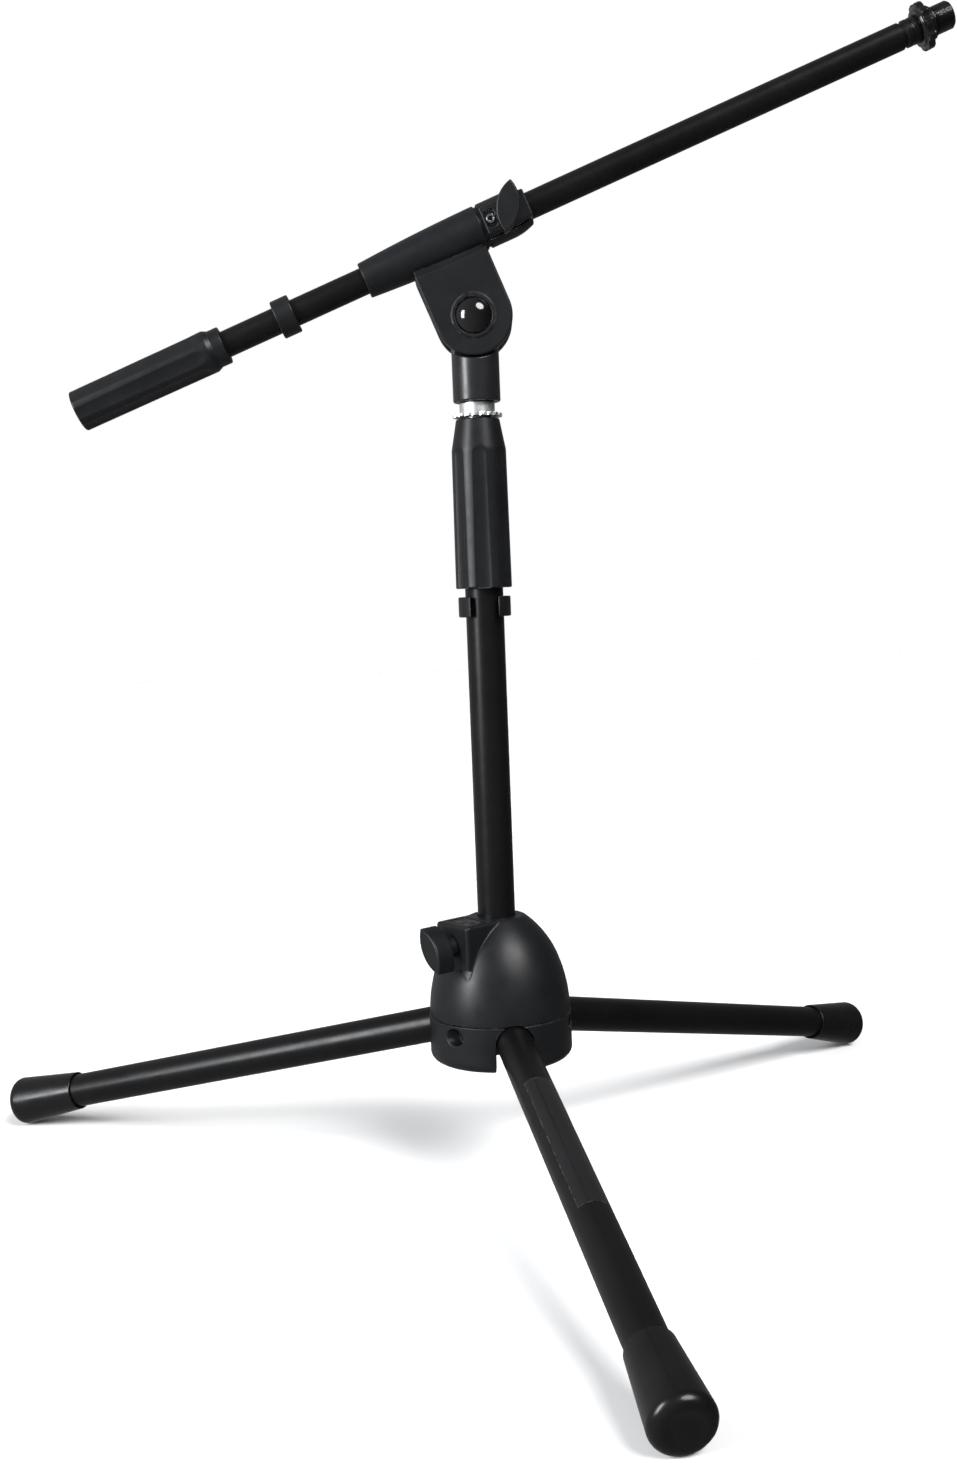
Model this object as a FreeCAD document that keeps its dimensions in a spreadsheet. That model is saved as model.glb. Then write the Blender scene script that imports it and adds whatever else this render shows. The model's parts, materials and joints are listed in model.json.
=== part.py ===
import FreeCAD, Part
import math
import os
import re
import Sketcher
from FreeCAD import Placement, Rotation, Vector

# Low tripod microphone stand with a tilting boom arm. Millimetres, +Z up.
# The origin is the point of the floor under the pole; the boom's threaded tip points to +X.

doc = FreeCAD.newDocument("mic_stand")
sheet = doc.addObject("Spreadsheet::Sheet", "Sizes")

SIZES = {
    # tubes
    "pole_radius": 11.0, "pole_wall": 1.2, "leg_radius": 10.45, "leg_wall": 1.2,
    "boom_radius": 7.6, "boom_wall": 1.0, "mast_radius": 7.95, "mast_wall": 1.2,
    "thread_radius": 7.9375, "thread_pitch_radius": 7.632, "slide_gap": 0.05, "free_gap": 0.3,
    # tripod
    "leg_slope": 13.05, "leg_turn": 281.15, "leg_start": 20.0, "leg_end": 343.5,
    "hinge_offset": 26.0, "hinge_radius": 3.0, "hinge_reach": 20.5,
    "boot_start": 301.0, "boot_end": 348.0, "boot_neck": 11.9, "boot_radius": 15.4,
    "boot_round": 5.0, "boot_dish": 10.4, "dish_depth": 0.7, "plug_length": 28.0,
    "label_start": 96.0, "label_end": 210.0, "label_half": 7.4, "label_film": 0.12,
    # hub heights above the floor and radii
    "hub_low": 66.8, "hub_seam": 93.4, "hub_high": 150.5, "hub_radius": 41.8, "dome_radius": 41.4,
    "dome_knee_radius": 35.5, "dome_knee": 125.0, "dome_top_radius": 16.2,
    "dome_low_bend": 87.6, "dome_high_bend": 58.0, "shell_wall": 3.6, "sleeve_radius": 15.0,
    "roof": 7.0, "boss_radius": 4.6, "slot_half": 11.0, "cheek_half": 10.8, "bracket_radius": 35.7,
    "skirt_inside": 35.75, "skirt_outside": 37.2, "bracket_low": 70.0,
    "bracket_high": 99.0, "bracket_core": 12.9, "ring_lip": 9.0, "ring_round": 5.0, "seam_gap": 0.2,
    "hub_screw_offset": 30.0, "hub_screw_radius": 1.95, "hub_screw_head": 4.0, "hub_screw_sink": 0.4,
    "hub_screw_top": 3.1, "bolt_head_radius": 4.3, "bolt_head_low": -27.6, "bolt_head_high": -22.6,
    "socket_half": 1.9, "access_radius": 4.9,
    "block_reach": 35.0, "block_half": 14.2, "block_low": 104.0, "block_round": 2.5,
    "hub_knob_height": 137.5, "hub_knob_lean": 31.5, "panel_near": 17.0, "panel_far": 30.2,
    "panel_half": 9.4, "panel_depth": 1.55, "panel_ribs": 9.0, "rib_pitch": 1.5, "rib_width": 0.7,
    # wing knobs and what they press on
    "stem_radius": 2.98, "stem_hole": 3.0, "stem_cover": 3.6, "shoe_radius": 4.5, "shoe_reach": 20.0,
    "nut_near": 23.1, "nut_far": 28.1, "nut_half": 5.0, "nut_gap": 0.1,
    "wing_length": 14.6, "wing_width": 6.6, "wing_round": 2.2, "wing_boss": 6.2,
    "pivot_wing_length": 19.5, "pivot_wing_width": 6.5, "pivot_wing_low": 8.0,
    "pivot_wing_high": 22.0, "pivot_boss": 10.0,
    # column heights
    "pole_low": 72.0, "pole_high": 400.0, "mast_low": 112.0, "mast_high": 438.4,
    "grip_low": 341.8, "grip_shoulder": 420.5, "grip_high": 438.0, "grip_low_radius": 16.2,
    "grip_waist_radius": 15.6, "grip_top_radius": 12.4, "grip_flutes": 7.0,
    "pole_clip_low": 325.4, "pole_clip_high": 337.0, "pole_clip_radius": 15.1,
    "ring_low": 439.0, "ring_shoulder": 442.3, "ring_high": 447.2, "ring_radius": 13.6,
    "ring_neck": 9.7, "ring_teeth": 16.0,
    "socket_low": 447.6, "socket_radius": 13.55, "shelf_radius": 23.4, "tongue_half": 6.0,
    # boom head
    "pivot_height": 494.4, "boom_rise": 21.77, "boom_drop": 44.6, "ear_radius": 22.0,
    "ear_inside": 7.3, "ear_outside": 13.3, "bolt_radius": 4.0, "cap_radius": 9.9, "cap_rise": 4.4,
    "barrel_start": -65.9, "barrel_end": 6.4, "barrel_start_radius": 10.1,
    "barrel_end_radius": 12.8, "barrel_bore": 8.7, "collar_start": 8.0, "collar_end": 35.0,
    "collar_end_radius": 10.3, "lock_station": 22.9, "lock_lean": 61.0,
    "pad_half": 7.9, "pad_face": 13.4, "window_station": 12.5, "ear_ledge": 12.4,
    # boom stations along the boom axis, from the point over the pole
    "boom_start": -240.0, "boom_tip": 268.0, "thread_end": 293.5, "nut_start": 273.2,
    "nut_end": 279.4, "nut_radius": 13.4, "washer_end": 282.0, "washer_radius": 9.3,
    "weight_start": -245.7, "weight_end": -162.6, "weight_radius": 12.2,
    "weight_start_radius": 11.8, "weight_neck": 11.0, "weight_band_start": -159.6,
    "weight_band_end": -153.2, "weight_band_radius": 10.8, "weight_scoops": 7.0,
    "boom_clip_start": -120.3, "boom_clip_end": -109.6, "boom_clip_radius": 11.0,
}

for row, (alias, value) in enumerate(SIZES.items(), 1):
    sheet.set("A%d" % row, alias)
    sheet.set("B%d" % row, str(value))
    sheet.setAlias("B%d" % row, alias)
doc.recompute()

LEG_NAMES = ("front", "right", "left")
LEG_STEP = 120.0
X_AXIS, Y_AXIS, Z_AXIS = Vector(1, 0, 0), Vector(0, 1, 0), Vector(0, 0, 1)
nodes = {}


# ---- sizes and formulas -------------------------------------------------------------

def formula(text):
    """A formula in sheet aliases, as an expression of the document."""
    return re.sub(r"[a-z_]{4,}", lambda m: "Sizes." + m[0] if m[0] in SIZES else m[0], str(text))


def number(text):
    """The value of such a formula, for first positions and for placements."""
    return float(sheet.evalExpression(formula(text)))


def bind(thing, **rules):
    for name, text in rules.items():
        thing.setExpression(name.replace("__", "."), formula(text))
    return thing


def keep(thing, name, placement=None):
    """Register a finished sub-part as a node of the model."""
    thing.Label = name
    if placement is not None:
        thing.Placement = placement
    nodes[name] = thing
    return thing


# ---- frames -------------------------------------------------------------------------

def leg_axis_height():
    """Height where the leg axes meet the pole axis, with the boots resting on the floor."""
    slope = math.radians(number("leg_slope"))
    low = number("boot_end - boot_round") * math.sin(slope)
    return low + number("boot_radius - boot_round") * math.cos(slope) + number("boot_round")


def leg_frame(index):
    """Z runs out along the leg, Y is the hinge direction, X points down."""
    turn = Rotation(Z_AXIS, number("leg_turn") + LEG_STEP * index)
    return Placement(Vector(0, 0, leg_axis_height()), turn * Rotation(Y_AXIS, 90 + number("leg_slope")))


def hub_frame(index, height=0.0):
    """X runs out over leg number index, Z stays up."""
    return Placement(Vector(0, 0, height), Rotation(Z_AXIS, number("leg_turn") + LEG_STEP * index))


def hinge_height():
    return leg_axis_height() - number("hinge_offset") * math.tan(math.radians(number("leg_slope")))


def knob_frame(height=0.0):
    """X runs out through the hub knob, midway between two legs."""
    return Placement(Vector(0, 0, height), Rotation(Z_AXIS, number("leg_turn") - LEG_STEP / 2))


def boom_frame():
    """Z runs along the boom to its tip, Y is the tilt axis, X points down to the pivot."""
    rise = math.radians(number("boom_rise"))
    height = number("pivot_height") + number("boom_drop") / math.cos(rise)
    return Placement(Vector(0, 0, height), Rotation(Y_AXIS, 90 - number("boom_rise")))


def pivot_station():
    return -number("boom_drop") * math.tan(math.radians(number("boom_rise")))


# ---- building blocks ----------------------------------------------------------------

def origin_plane(body, role):
    return next(f for f in body.Origin.OriginFeatures if f.Role == role)


def arc_centre(start, end, radius):
    """Centre of the arc from start to end; a negative radius bends it the other way."""
    middle, chord = (start + end) * 0.5, end - start
    rise = math.sqrt(max(radius * radius - chord.Length ** 2 / 4, 0.0))
    side = Vector(-chord.y, chord.x, 0).normalize()
    return middle + side * math.copysign(rise, radius)


def outline_sketch(body, name, role, points):
    """Closed outline. A point is (across, along) or (across, along, bend of the line to it)."""
    sketch = body.newObject("Sketcher::SketchObject", name)
    sketch.AttachmentSupport = [(origin_plane(body, role), "")]
    sketch.MapMode = "FlatFace"
    places = [Vector(number(p[0]), number(p[1]), 0) for p in points]
    count = len(points)
    ends = []
    for i in range(count):
        start, end, point = places[i], places[(i + 1) % count], points[(i + 1) % count]
        if len(point) == 2:
            sketch.addGeometry(Part.LineSegment(start, end), False)
            ends.append((1, 2))
            continue
        bend = number(point[2])
        centre = arc_centre(start, end, bend)
        angles = [math.atan2(p.y - centre.y, p.x - centre.x) for p in (start, end)]
        if bend < 0:
            angles.reverse()
        if angles[1] < angles[0]:
            angles[1] += 2 * math.pi
        circle = Part.Circle(centre, Z_AXIS, abs(bend))
        sketch.addGeometry(Part.ArcOfCircle(circle, angles[0], angles[1]), False)
        ends.append((1, 2) if bend > 0 else (2, 1))
    for i in range(count):
        after = (i + 1) % count
        sketch.addConstraint(Sketcher.Constraint("Coincident", i, ends[i][1], after, ends[after][0]))
    for i in range(count):
        for kind, text, value in (("DistanceX", points[i][0], places[i].x),
                                  ("DistanceY", points[i][1], places[i].y)):
            spot = sketch.addConstraint(Sketcher.Constraint(kind, -1, 1, i, ends[i][0], value))
            sketch.setExpression("Constraints[%d]" % spot, formula(text))
        following = points[(i + 1) % count]
        if len(following) == 3:
            size = abs(number(following[2]))
            spot = sketch.addConstraint(Sketcher.Constraint("Radius", i, size))
            sketch.setExpression("Constraints[%d]" % spot, "abs(%s)" % formula(following[2]))
    return sketch


def turned(name, points):
    """A solid of revolution about its own Z, from (radius, height) points."""
    body = doc.addObject("PartDesign::Body", name)
    sketch = outline_sketch(body, name + "_profile", "XZ_Plane", points)
    turn = body.newObject("PartDesign::Revolution", name + "_turned")
    turn.Profile = sketch
    turn.ReferenceAxis = (sketch, ["V_Axis"])
    turn.Angle = 360
    body.Tip = turn
    sketch.Visibility = False
    return body


def sleeve(name, inner, outer, low, high):
    return turned(name, [(inner, low), (outer, low), (outer, high), (inner, high)])


def plug(name, radius, low, high):
    return turned(name, [(0, low), (radius, low), (radius, high), (0, high)])


def slab(name, role, points, low, high):
    """An outline padded from low to high along its plane's normal."""
    body = doc.addObject("PartDesign::Body", name)
    sketch = outline_sketch(body, name + "_outline", role, points)
    sketch.setExpression(".AttachmentOffset.Base.z", formula(low))
    pad = body.newObject("PartDesign::Pad", name + "_pad")
    pad.Profile = sketch
    bind(pad, Length="(%s) - (%s)" % (high, low))
    body.Tip = pad
    sketch.Visibility = False
    return body


def rod(name, radius, start, length, placement=Placement()):
    """A cylinder along the placement's Z, starting at height start."""
    thing = bind(doc.addObject("Part::Cylinder", name), Radius=radius, Height=length)
    thing.Placement = placement * Placement(Vector(0, 0, number(start)), Rotation())
    return thing


def cross_rod(name, radius, start, length, across, along, placement=Placement()):
    """A cylinder along the placement's Y, at (across, along) in its X and Z."""
    spot = Placement(Vector(number(across), 0, number(along)), Rotation(X_AXIS, -90))
    return rod(name, radius, start, length, placement * spot)


def brick(name, low, high, placement=Placement()):
    """A box between two corners, each given as three formulas."""
    thing = doc.addObject("Part::Box", name)
    spans = ["(%s) - (%s)" % (b, a) for a, b in zip(low, high)]
    bind(thing, Length=spans[0], Width=spans[1], Height=spans[2])
    thing.Placement = placement * Placement(Vector(*[number(a) for a in low]), Rotation())
    return thing


def ball(name, radius, place):
    thing = bind(doc.addObject("Part::Sphere", name), Radius=radius)
    thing.Placement = Placement(place, Rotation())
    return thing


def joined(name, *parts):
    thing = doc.addObject("Part::MultiFuse", name)
    thing.Shapes = list(parts)
    thing.Refine = True
    return thing


def less(name, base, *tools):
    thing = doc.addObject("Part::Cut", name)
    thing.Base = base
    thing.Tool = tools[0] if len(tools) == 1 else joined(name + "_tools", *tools)
    return thing


def shared(name, first, second):
    thing = doc.addObject("Part::Common", name)
    thing.Base = first
    thing.Tool = second
    return thing


def rounded(name, base, radius, wanted):
    """Fillet the edges of base that wanted(edge) accepts."""
    doc.recompute()
    thing = doc.addObject("Part::Fillet", name)
    thing.Base = base
    picked = [i for i, edge in enumerate(base.Shape.Edges, 1) if wanted(edge)]
    thing.Edges = [(i, number(radius), number(radius)) for i in picked]
    return thing


def group(name, parts):
    thing = doc.addObject("Part::Compound", name)
    thing.Links = list(parts)
    return thing


def ring_of(name, maker, count, first=0.0):
    """count tools made by maker(label, rotation), evenly spaced about Z."""
    return [maker("%s_%d" % (name, i), Rotation(Z_AXIS, first + 360.0 * i / count))
            for i in range(count)]


# ---- the tripod hub -----------------------------------------------------------------

def leg_slot(name, index):
    """Room for a leg: an arch that follows the leg, open at the bottom."""
    frame = leg_frame(index)
    reach = "hub_radius + 20"
    arch = rod(name + "_arch", "slot_half", 14, reach, frame)
    below = brick(name + "_below", ("0", "-slot_half", "14"), ("60", "slot_half", reach), frame)
    return joined(name, arch, below)


def hinge_hole(name, index, radius, start, length):
    return cross_rod(name, radius, start, length, "hinge_offset", hinge_height(), hub_frame(index))


def build_hub_dome():
    shell = turned("dome_shell", [
        ("dome_radius - shell_wall", "hub_seam", "-dome_low_bend"), ("dome_radius", "hub_seam"),
        ("dome_knee_radius", "dome_knee", "dome_low_bend"),
        ("dome_top_radius", "hub_high", "dome_high_bend"), ("0", "hub_high"),
        ("0", "hub_high - roof"), ("dome_top_radius + 4", "hub_high - roof"),
        ("dome_knee_radius - shell_wall", "dome_knee - 3", "-dome_high_bend")])
    block = brick("dome_block", ("0", "-block_half", "block_low"),
                  ("block_reach", "block_half", "hub_high"), knob_frame())
    block = rounded("dome_block_round", block, "block_round", is_block_edge)
    hull = turned("dome_hull", [
        ("0", "hub_seam"), ("dome_radius", "hub_seam"),
        ("dome_knee_radius", "dome_knee", "dome_low_bend"),
        ("dome_knee_radius + 20", "dome_knee"), ("dome_knee_radius + 20", "hub_high + 5"),
        ("0", "hub_high + 5")])
    block = shared("dome_block_trim", block, hull)
    collar = rod("dome_sleeve", "sleeve_radius", "bracket_high + 1.5",
                 "hub_high - bracket_high - 3")
    bosses = [rod("dome_boss_%d" % i, "boss_radius", "bracket_high + free_gap",
                  "hub_high - bracket_high - 22", screw_frame(i)) for i in range(3)]
    bosses = shared("dome_bosses", joined("dome_boss_set", *bosses), turned("dome_inside", [
        ("0", "hub_seam"), ("dome_radius - 1", "hub_seam"),
        ("dome_knee_radius - 1", "dome_knee", "dome_low_bend"), ("dome_top_radius - 1", "hub_high - 2"),
        ("0", "hub_high - 2")]))
    solid = joined("dome_solid", shell, block, collar, bosses)
    holes = [rod("dome_bore", "pole_radius + slide_gap", "hub_seam - 5", "hub_high - hub_seam + 10")]
    holes += [rod("dome_pilot_%d" % i, 2.0, "bracket_high - 1", 16, screw_frame(i)) for i in range(3)]
    holes += [leg_slot("dome_leg_room_%d" % i, i) for i in range(3)]
    screw_line = knob_frame(number("hub_knob_height")) * Placement(Vector(0, 0, 0), Rotation(Y_AXIS, 90))
    holes.append(rod("dome_knob_bore", "stem_hole + 0.1", 0, "block_reach + 2", screw_line))
    holes.append(rod("dome_shoe_bore", "shoe_radius + 0.1", 0, "shoe_reach + 0.2", screw_line))
    holes.append(brick("dome_nut_slot",
                       ("nut_near - nut_gap", "-nut_half - nut_gap", "hub_knob_height - nut_half - 0.8"),
                       ("nut_far + nut_gap", "nut_half + nut_gap", "hub_high - 6"), knob_frame()))
    holes.append(brick("dome_panel_recess", ("panel_near - 0.2", "-panel_half - 0.2",
                                             "hub_high - panel_depth - slide_gap"),
                       ("panel_far + 0.2", "panel_half + 0.2", "hub_high + 1"), knob_frame()))
    keep(less("dome_finished", solid, *holes), "hub_dome")


def is_block_edge(edge):
    """The clamp block's two outer upright edges and the three outer edges of its top."""
    spot = knob_frame().inverse().multVec(edge.CenterOfMass)
    reach, half = number("block_reach"), number("block_half")
    outer_upright = abs(spot.x - reach) < 0.1 and abs(abs(spot.y) - half) < 0.1
    top = abs(spot.z - number("hub_high")) < 0.1 and spot.x > 1
    return outer_upright or top


def screw_frame(index):
    turn = Placement(Vector(0, 0, 0), Rotation(Z_AXIS, LEG_STEP / 2))
    return hub_frame(index) * turn * Placement(Vector(number("hub_screw_offset"), 0, 0), Rotation())


def build_hub_ring():
    shell = turned("ring_shell", [
        ("hub_radius - ring_lip", "hub_low"), ("hub_radius - ring_round", "hub_low"),
        ("hub_radius", "hub_low + ring_round", "ring_round"), ("hub_radius", "hub_seam - 0.9"),
        ("hub_radius - 0.6", "hub_seam - seam_gap"), ("skirt_outside", "hub_seam - seam_gap"),
        ("skirt_outside", "bracket_high - 0.1"), ("skirt_inside", "bracket_high - 0.1"),
        ("skirt_inside", "bracket_low - slide_gap"), ("hub_radius - ring_lip", "bracket_low - slide_gap")])
    cuts = [leg_slot("ring_slot_%d" % i, i) for i in range(3)]
    cuts += [hinge_hole("ring_access_%d" % i, i, "access_radius", -45, 24) for i in range(3)]
    keep(less("ring_finished", shell, *cuts), "hub_ring")


def build_leg_bracket():
    disc = sleeve("bracket_disc", "pole_radius + slide_gap", "bracket_radius", "bracket_low",
                  "bracket_high")
    cuts = []
    for i in range(3):
        cuts.append(brick("bracket_slot_%d" % i, ("bracket_core", "-cheek_half", "bracket_low - 1"),
                          ("50", "cheek_half", "bracket_high + 1"), hub_frame(i)))
        cuts.append(hinge_hole("bracket_hinge_%d" % i, i, "hinge_radius + 0.02", -40,
                               "hinge_reach + 40"))
        cuts.append(hinge_hole("bracket_head_%d" % i, i, 4.6, -40, 17.5))
        cuts.append(rod("bracket_screw_%d" % i, 2.1, "bracket_low - 1", 40, screw_frame(i)))
        cuts.append(rod("bracket_sink_%d" % i, 4.3, "bracket_low - 1", 4.2, screw_frame(i)))
    keep(less("bracket_finished", disc, *cuts), "leg_bracket")


def build_hub_fasteners():
    screws = []
    for i in range(3):
        screw = turned("hub_screw_%d" % i, [
            ("0", "bracket_low + hub_screw_sink"), ("hub_screw_head", "bracket_low + hub_screw_sink"),
            ("hub_screw_head", "bracket_low + hub_screw_top"),
            ("hub_screw_radius", "bracket_low + hub_screw_top"),
            ("hub_screw_radius", "bracket_low + 42"), ("0", "bracket_low + 43.5")])
        screw.Placement = screw_frame(i)
        screws.append(screw)
    keep(group("hub_screw_set", screws), "hub_screws")
    bolts = []
    for i in range(3):
        bolt = turned("hinge_bolt_%d" % i, [
            ("socket_half", "bolt_head_low"), ("bolt_head_radius", "bolt_head_low"),
            ("bolt_head_radius", "bolt_head_high"), ("hinge_radius", "bolt_head_high"),
            ("hinge_radius", "hinge_reach - 0.6"), ("hinge_radius - 0.6", "hinge_reach"),
            ("0", "hinge_reach"), ("0", "bolt_head_low + 3.2"), ("socket_half", "bolt_head_low + 3.2")])
        bolt.Placement = hub_frame(i) * Placement(Vector(number("hinge_offset"), 0, hinge_height()),
                                                  Rotation(X_AXIS, -90))
        bolts.append(bolt)
    keep(group("hinge_bolt_set", bolts), "leg_pivot_bolts")


def build_top_panel():
    plate = brick("panel_plate", ("panel_near", "-panel_half", "hub_high - panel_depth"),
                  ("panel_far", "panel_half", "hub_high - 0.9"), knob_frame())
    ribs = []
    for i in range(int(number("panel_ribs"))):
        start = "panel_near + 0.5 + %d * rib_pitch" % i
        ribs.append(brick("panel_rib_%d" % i, (start, "0.4 - panel_half", "hub_high - 1"),
                          (start + " + rib_width", "panel_half - 0.4", "hub_high - 0.4"), knob_frame()))
    keep(joined("panel_finished", plate, *ribs), "hub_top_panel")


def leaf(name, long_half, wide_half, low, high):
    """A pointed oval, padded from low to high: the wing of a thumb screw."""
    bend = "(%s * %s + %s * %s) / (2 * %s)" % (long_half, long_half, wide_half, wide_half, wide_half)
    tips = [(long_half, "0", bend), ("-(%s)" % long_half, "0", bend)]
    return slab(name, "XY_Plane", tips, low, high)


def thumb_screw(name, frame, tip, base=5.0, top=17.0):
    """Wing knob with a threaded stem that reaches down to tip; Z runs out of the clamp."""
    wing = leaf(name + "_wing", "wing_length", "wing_width", base, top)
    wing = rounded(name + "_soft", wing, "wing_round", lambda e: abs(e.CenterOfMass.z - top) < 0.1)
    boss = turned(name + "_boss", [
        ("0", "0.4"), ("wing_boss - 0.6", "0.4"), ("wing_boss", "1.0"), ("wing_boss", "4.6"),
        ("wing_boss - 1", "9"), ("0", "9")])
    solid = joined(name + "_knob", wing, boss)
    depth = top - number("stem_cover")
    hole = rod(name + "_hole", "stem_hole", tip, "%g - (%s)" % (depth, tip))
    knob = less(name + "_finished", solid, hole)
    stem = plug(name + "_stem", "stem_radius", tip, depth - 0.1)
    return keep(knob, name + "_knob", frame), keep(stem, name + "_screw", frame)


def build_hub_clamp():
    line = knob_frame(number("hub_knob_height")) * Placement(Vector(0, 0, 0), Rotation(Y_AXIS, 90))
    # at rest the wing leans away from upright by hub_knob_lean
    outside = line * Placement(Vector(0, 0, number("block_reach")),
                               Rotation(Z_AXIS, 180 + number("hub_knob_lean")))
    thumb_screw("hub_clamp", outside, "-14.5")
    shoe = plug("shoe_body", "shoe_radius", "pole_radius + free_gap", "shoe_reach")
    keep(shoe, "hub_clamp_shoe", line)
    nut = brick("nut_block", ("nut_near", "-nut_half", "hub_knob_height - nut_half - 0.7"),
                ("nut_far", "nut_half", "hub_knob_height + nut_half"), knob_frame())
    hole = rod("nut_hole", "stem_hole + 0.06", "nut_near - 3", 12, line)
    keep(less("nut_finished", nut, hole), "hub_clamp_nut")


# ---- legs ---------------------------------------------------------------------------

def build_leg(index):
    side = LEG_NAMES[index]
    frame = leg_frame(index)
    hinge_station = str(number("hinge_offset") / math.cos(math.radians(number("leg_slope"))))

    def hinge_bore(name):
        return cross_rod(name, "hinge_radius + slide_gap", -20, 40, 0, hinge_station)

    tube = sleeve("leg_tube_%s_wall" % side, "leg_radius - leg_wall", "leg_radius", "leg_start",
                  "leg_end")
    tube = less("leg_tube_%s_bored" % side, tube, hinge_bore("leg_tube_%s_bore" % side))
    keep(tube, "leg_tube_" + side, frame)
    inner = turned("leg_plug_%s_body" % side, [
        ("0", "leg_start + 0.5"), ("leg_radius - leg_wall - 0.6", "leg_start + 0.5"),
        ("leg_radius - leg_wall", "leg_start + 1.5"),
        ("leg_radius - leg_wall", "leg_start + plug_length - 2"),
        ("leg_radius - leg_wall - 1", "leg_start + plug_length"), ("0", "leg_start + plug_length")])
    inner = less("leg_plug_%s_bored" % side, inner, hinge_bore("leg_plug_%s_bore" % side))
    keep(inner, "leg_plug_" + side, frame)
    boot = turned("foot_boot_%s_body" % side, [
        ("leg_radius", "boot_start"), ("boot_neck - 0.5", "boot_start"),
        ("boot_neck", "boot_start + 0.5", "0.5"), ("boot_radius", "boot_end - boot_round"),
        ("boot_radius - boot_round", "boot_end", "boot_round"),
        ("boot_dish - 1", "boot_end - dish_depth"), ("0", "boot_end - dish_depth"), ("0", "leg_end + 0.02"),
        ("leg_radius", "leg_end + 0.02")])
    keep(boot, "foot_boot_" + side, frame)


def build_leg_label():
    """A thin blank label wrapped over the top of the front leg."""
    band = sleeve("label_band", "leg_radius", "leg_radius + label_film", "label_start", "label_end")
    window = brick("label_window", ("-20", "-label_half", "label_start - 6"),
                   ("-4", "label_half", "label_end + 6"))
    keep(shared("label_finished", band, window), "leg_label", leg_frame(0))


# ---- column -------------------------------------------------------------------------

def build_pole():
    keep(sleeve("pole_wall_body", "pole_radius - pole_wall", "pole_radius", "pole_low", "pole_high"),
         "main_tube")
    cap = turned("pole_cap_body", [
        ("0", "pole_low - 1.6"), ("pole_radius - 1", "pole_low - 1.6"),
        ("pole_radius", "pole_low - 0.6", "1"),
        ("pole_radius", "pole_low"), ("pole_radius - pole_wall", "pole_low"),
        ("pole_radius - pole_wall", "pole_low + 14"), ("0", "pole_low + 14")])
    keep(cap, "pole_end_cap")


def build_pole_clip():
    ring = turned("pole_clip_ring", [
        ("pole_radius + slide_gap", "pole_clip_low"), ("pole_clip_radius - 0.8", "pole_clip_low"),
        ("pole_clip_radius", "pole_clip_low + 0.8", "0.8"), ("pole_clip_radius", "pole_clip_high - 0.8"),
        ("pole_clip_radius - 0.8", "pole_clip_high", "0.8"),
        ("pole_radius + slide_gap", "pole_clip_high")])
    mouth = brick("pole_clip_mouth", ("-8", "-20", "pole_clip_low - 1"), ("8", "0", "pole_clip_high + 1"))
    keep(less("pole_clip_finished", ring, mouth), "pole_cable_clip")


def build_clutch():
    body = turned("grip_body", [
        ("pole_radius + free_gap", "grip_low"), ("grip_low_radius - 1", "grip_low"),
        ("grip_low_radius", "grip_low + 1", "1"), ("grip_waist_radius", "grip_shoulder"),
        ("grip_top_radius", "grip_high - 0.6"), ("grip_top_radius - 0.6", "grip_high", "0.6"),
        ("mast_radius + free_gap + 0.1", "grip_high"), ("mast_radius + free_gap + 0.1", "grip_high - 13"),
        ("9.9", "grip_high - 13"), ("12.7", "grip_shoulder - 14"), ("12.9", "grip_low + 36"),
        ("pole_radius + free_gap", "grip_low + 33")])

    def flute(name, spin):
        away = spin.multVec(Vector(number("grip_waist_radius") + 8.6, 0, 0))
        return rod(name, 9.0, "grip_low - 1", "grip_shoulder - grip_low - 2", Placement(away, spin))

    def flute_end(name, spin):
        away = spin.multVec(Vector(number("grip_waist_radius") + 8.6, 0, number("grip_shoulder - 3")))
        return ball(name, 9.0, away)

    count = int(number("grip_flutes"))
    tools = ring_of("grip_flute", flute, count, 271.0) + ring_of("grip_flute_end", flute_end, count, 271.0)
    keep(less("grip_finished", body, *tools), "clutch_grip")

    bush = turned("bush_body", [
        ("pole_radius", "pole_high - 18"), ("12.4", "pole_high - 18"), ("12.4", "pole_high + 3"),
        ("mast_radius + free_gap", "pole_high + 3"), ("mast_radius + free_gap", "pole_high + 0.1"),
        ("pole_radius", "pole_high + 0.1")])
    keep(bush, "clutch_bush")
    collet = turned("collet_body", [
        ("mast_radius + free_gap", "pole_high + 3.2"), ("12.2", "pole_high + 3.2"),
        ("12.2", "pole_high + 5"), ("9.6", "pole_high + 23"), ("mast_radius + free_gap", "pole_high + 23")])
    slits = [brick("collet_slit_%d" % i, ("-0.6", "-15", "pole_high + 8"), ("0.6", "15", "pole_high + 30"),
                   Placement(Vector(0, 0, 0), Rotation(Z_AXIS, 90.0 * i))) for i in range(2)]
    keep(less("collet_finished", collet, *slits), "clutch_collet")


def build_mast():
    keep(sleeve("mast_body", "mast_radius - mast_wall", "mast_radius", "mast_low", "mast_high"),
         "inner_tube")
    guide = sleeve("guide_body", "mast_radius", "pole_radius - pole_wall - slide_gap", "mast_low + 2",
                   "mast_low + 24")
    keep(guide, "guide_bush")
    stud = turned("stud_body", [
        ("0", "mast_high - 22"), ("mast_radius - mast_wall - 1", "mast_high - 22"),
        ("mast_radius - mast_wall", "mast_high - 21"), ("mast_radius - mast_wall", "mast_high"),
        ("thread_radius", "mast_high"), ("thread_radius", "socket_low + 14"),
        ("thread_radius - 1", "socket_low + 15"), ("0", "socket_low + 15")])
    keep(stud, "mast_stud")


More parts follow.
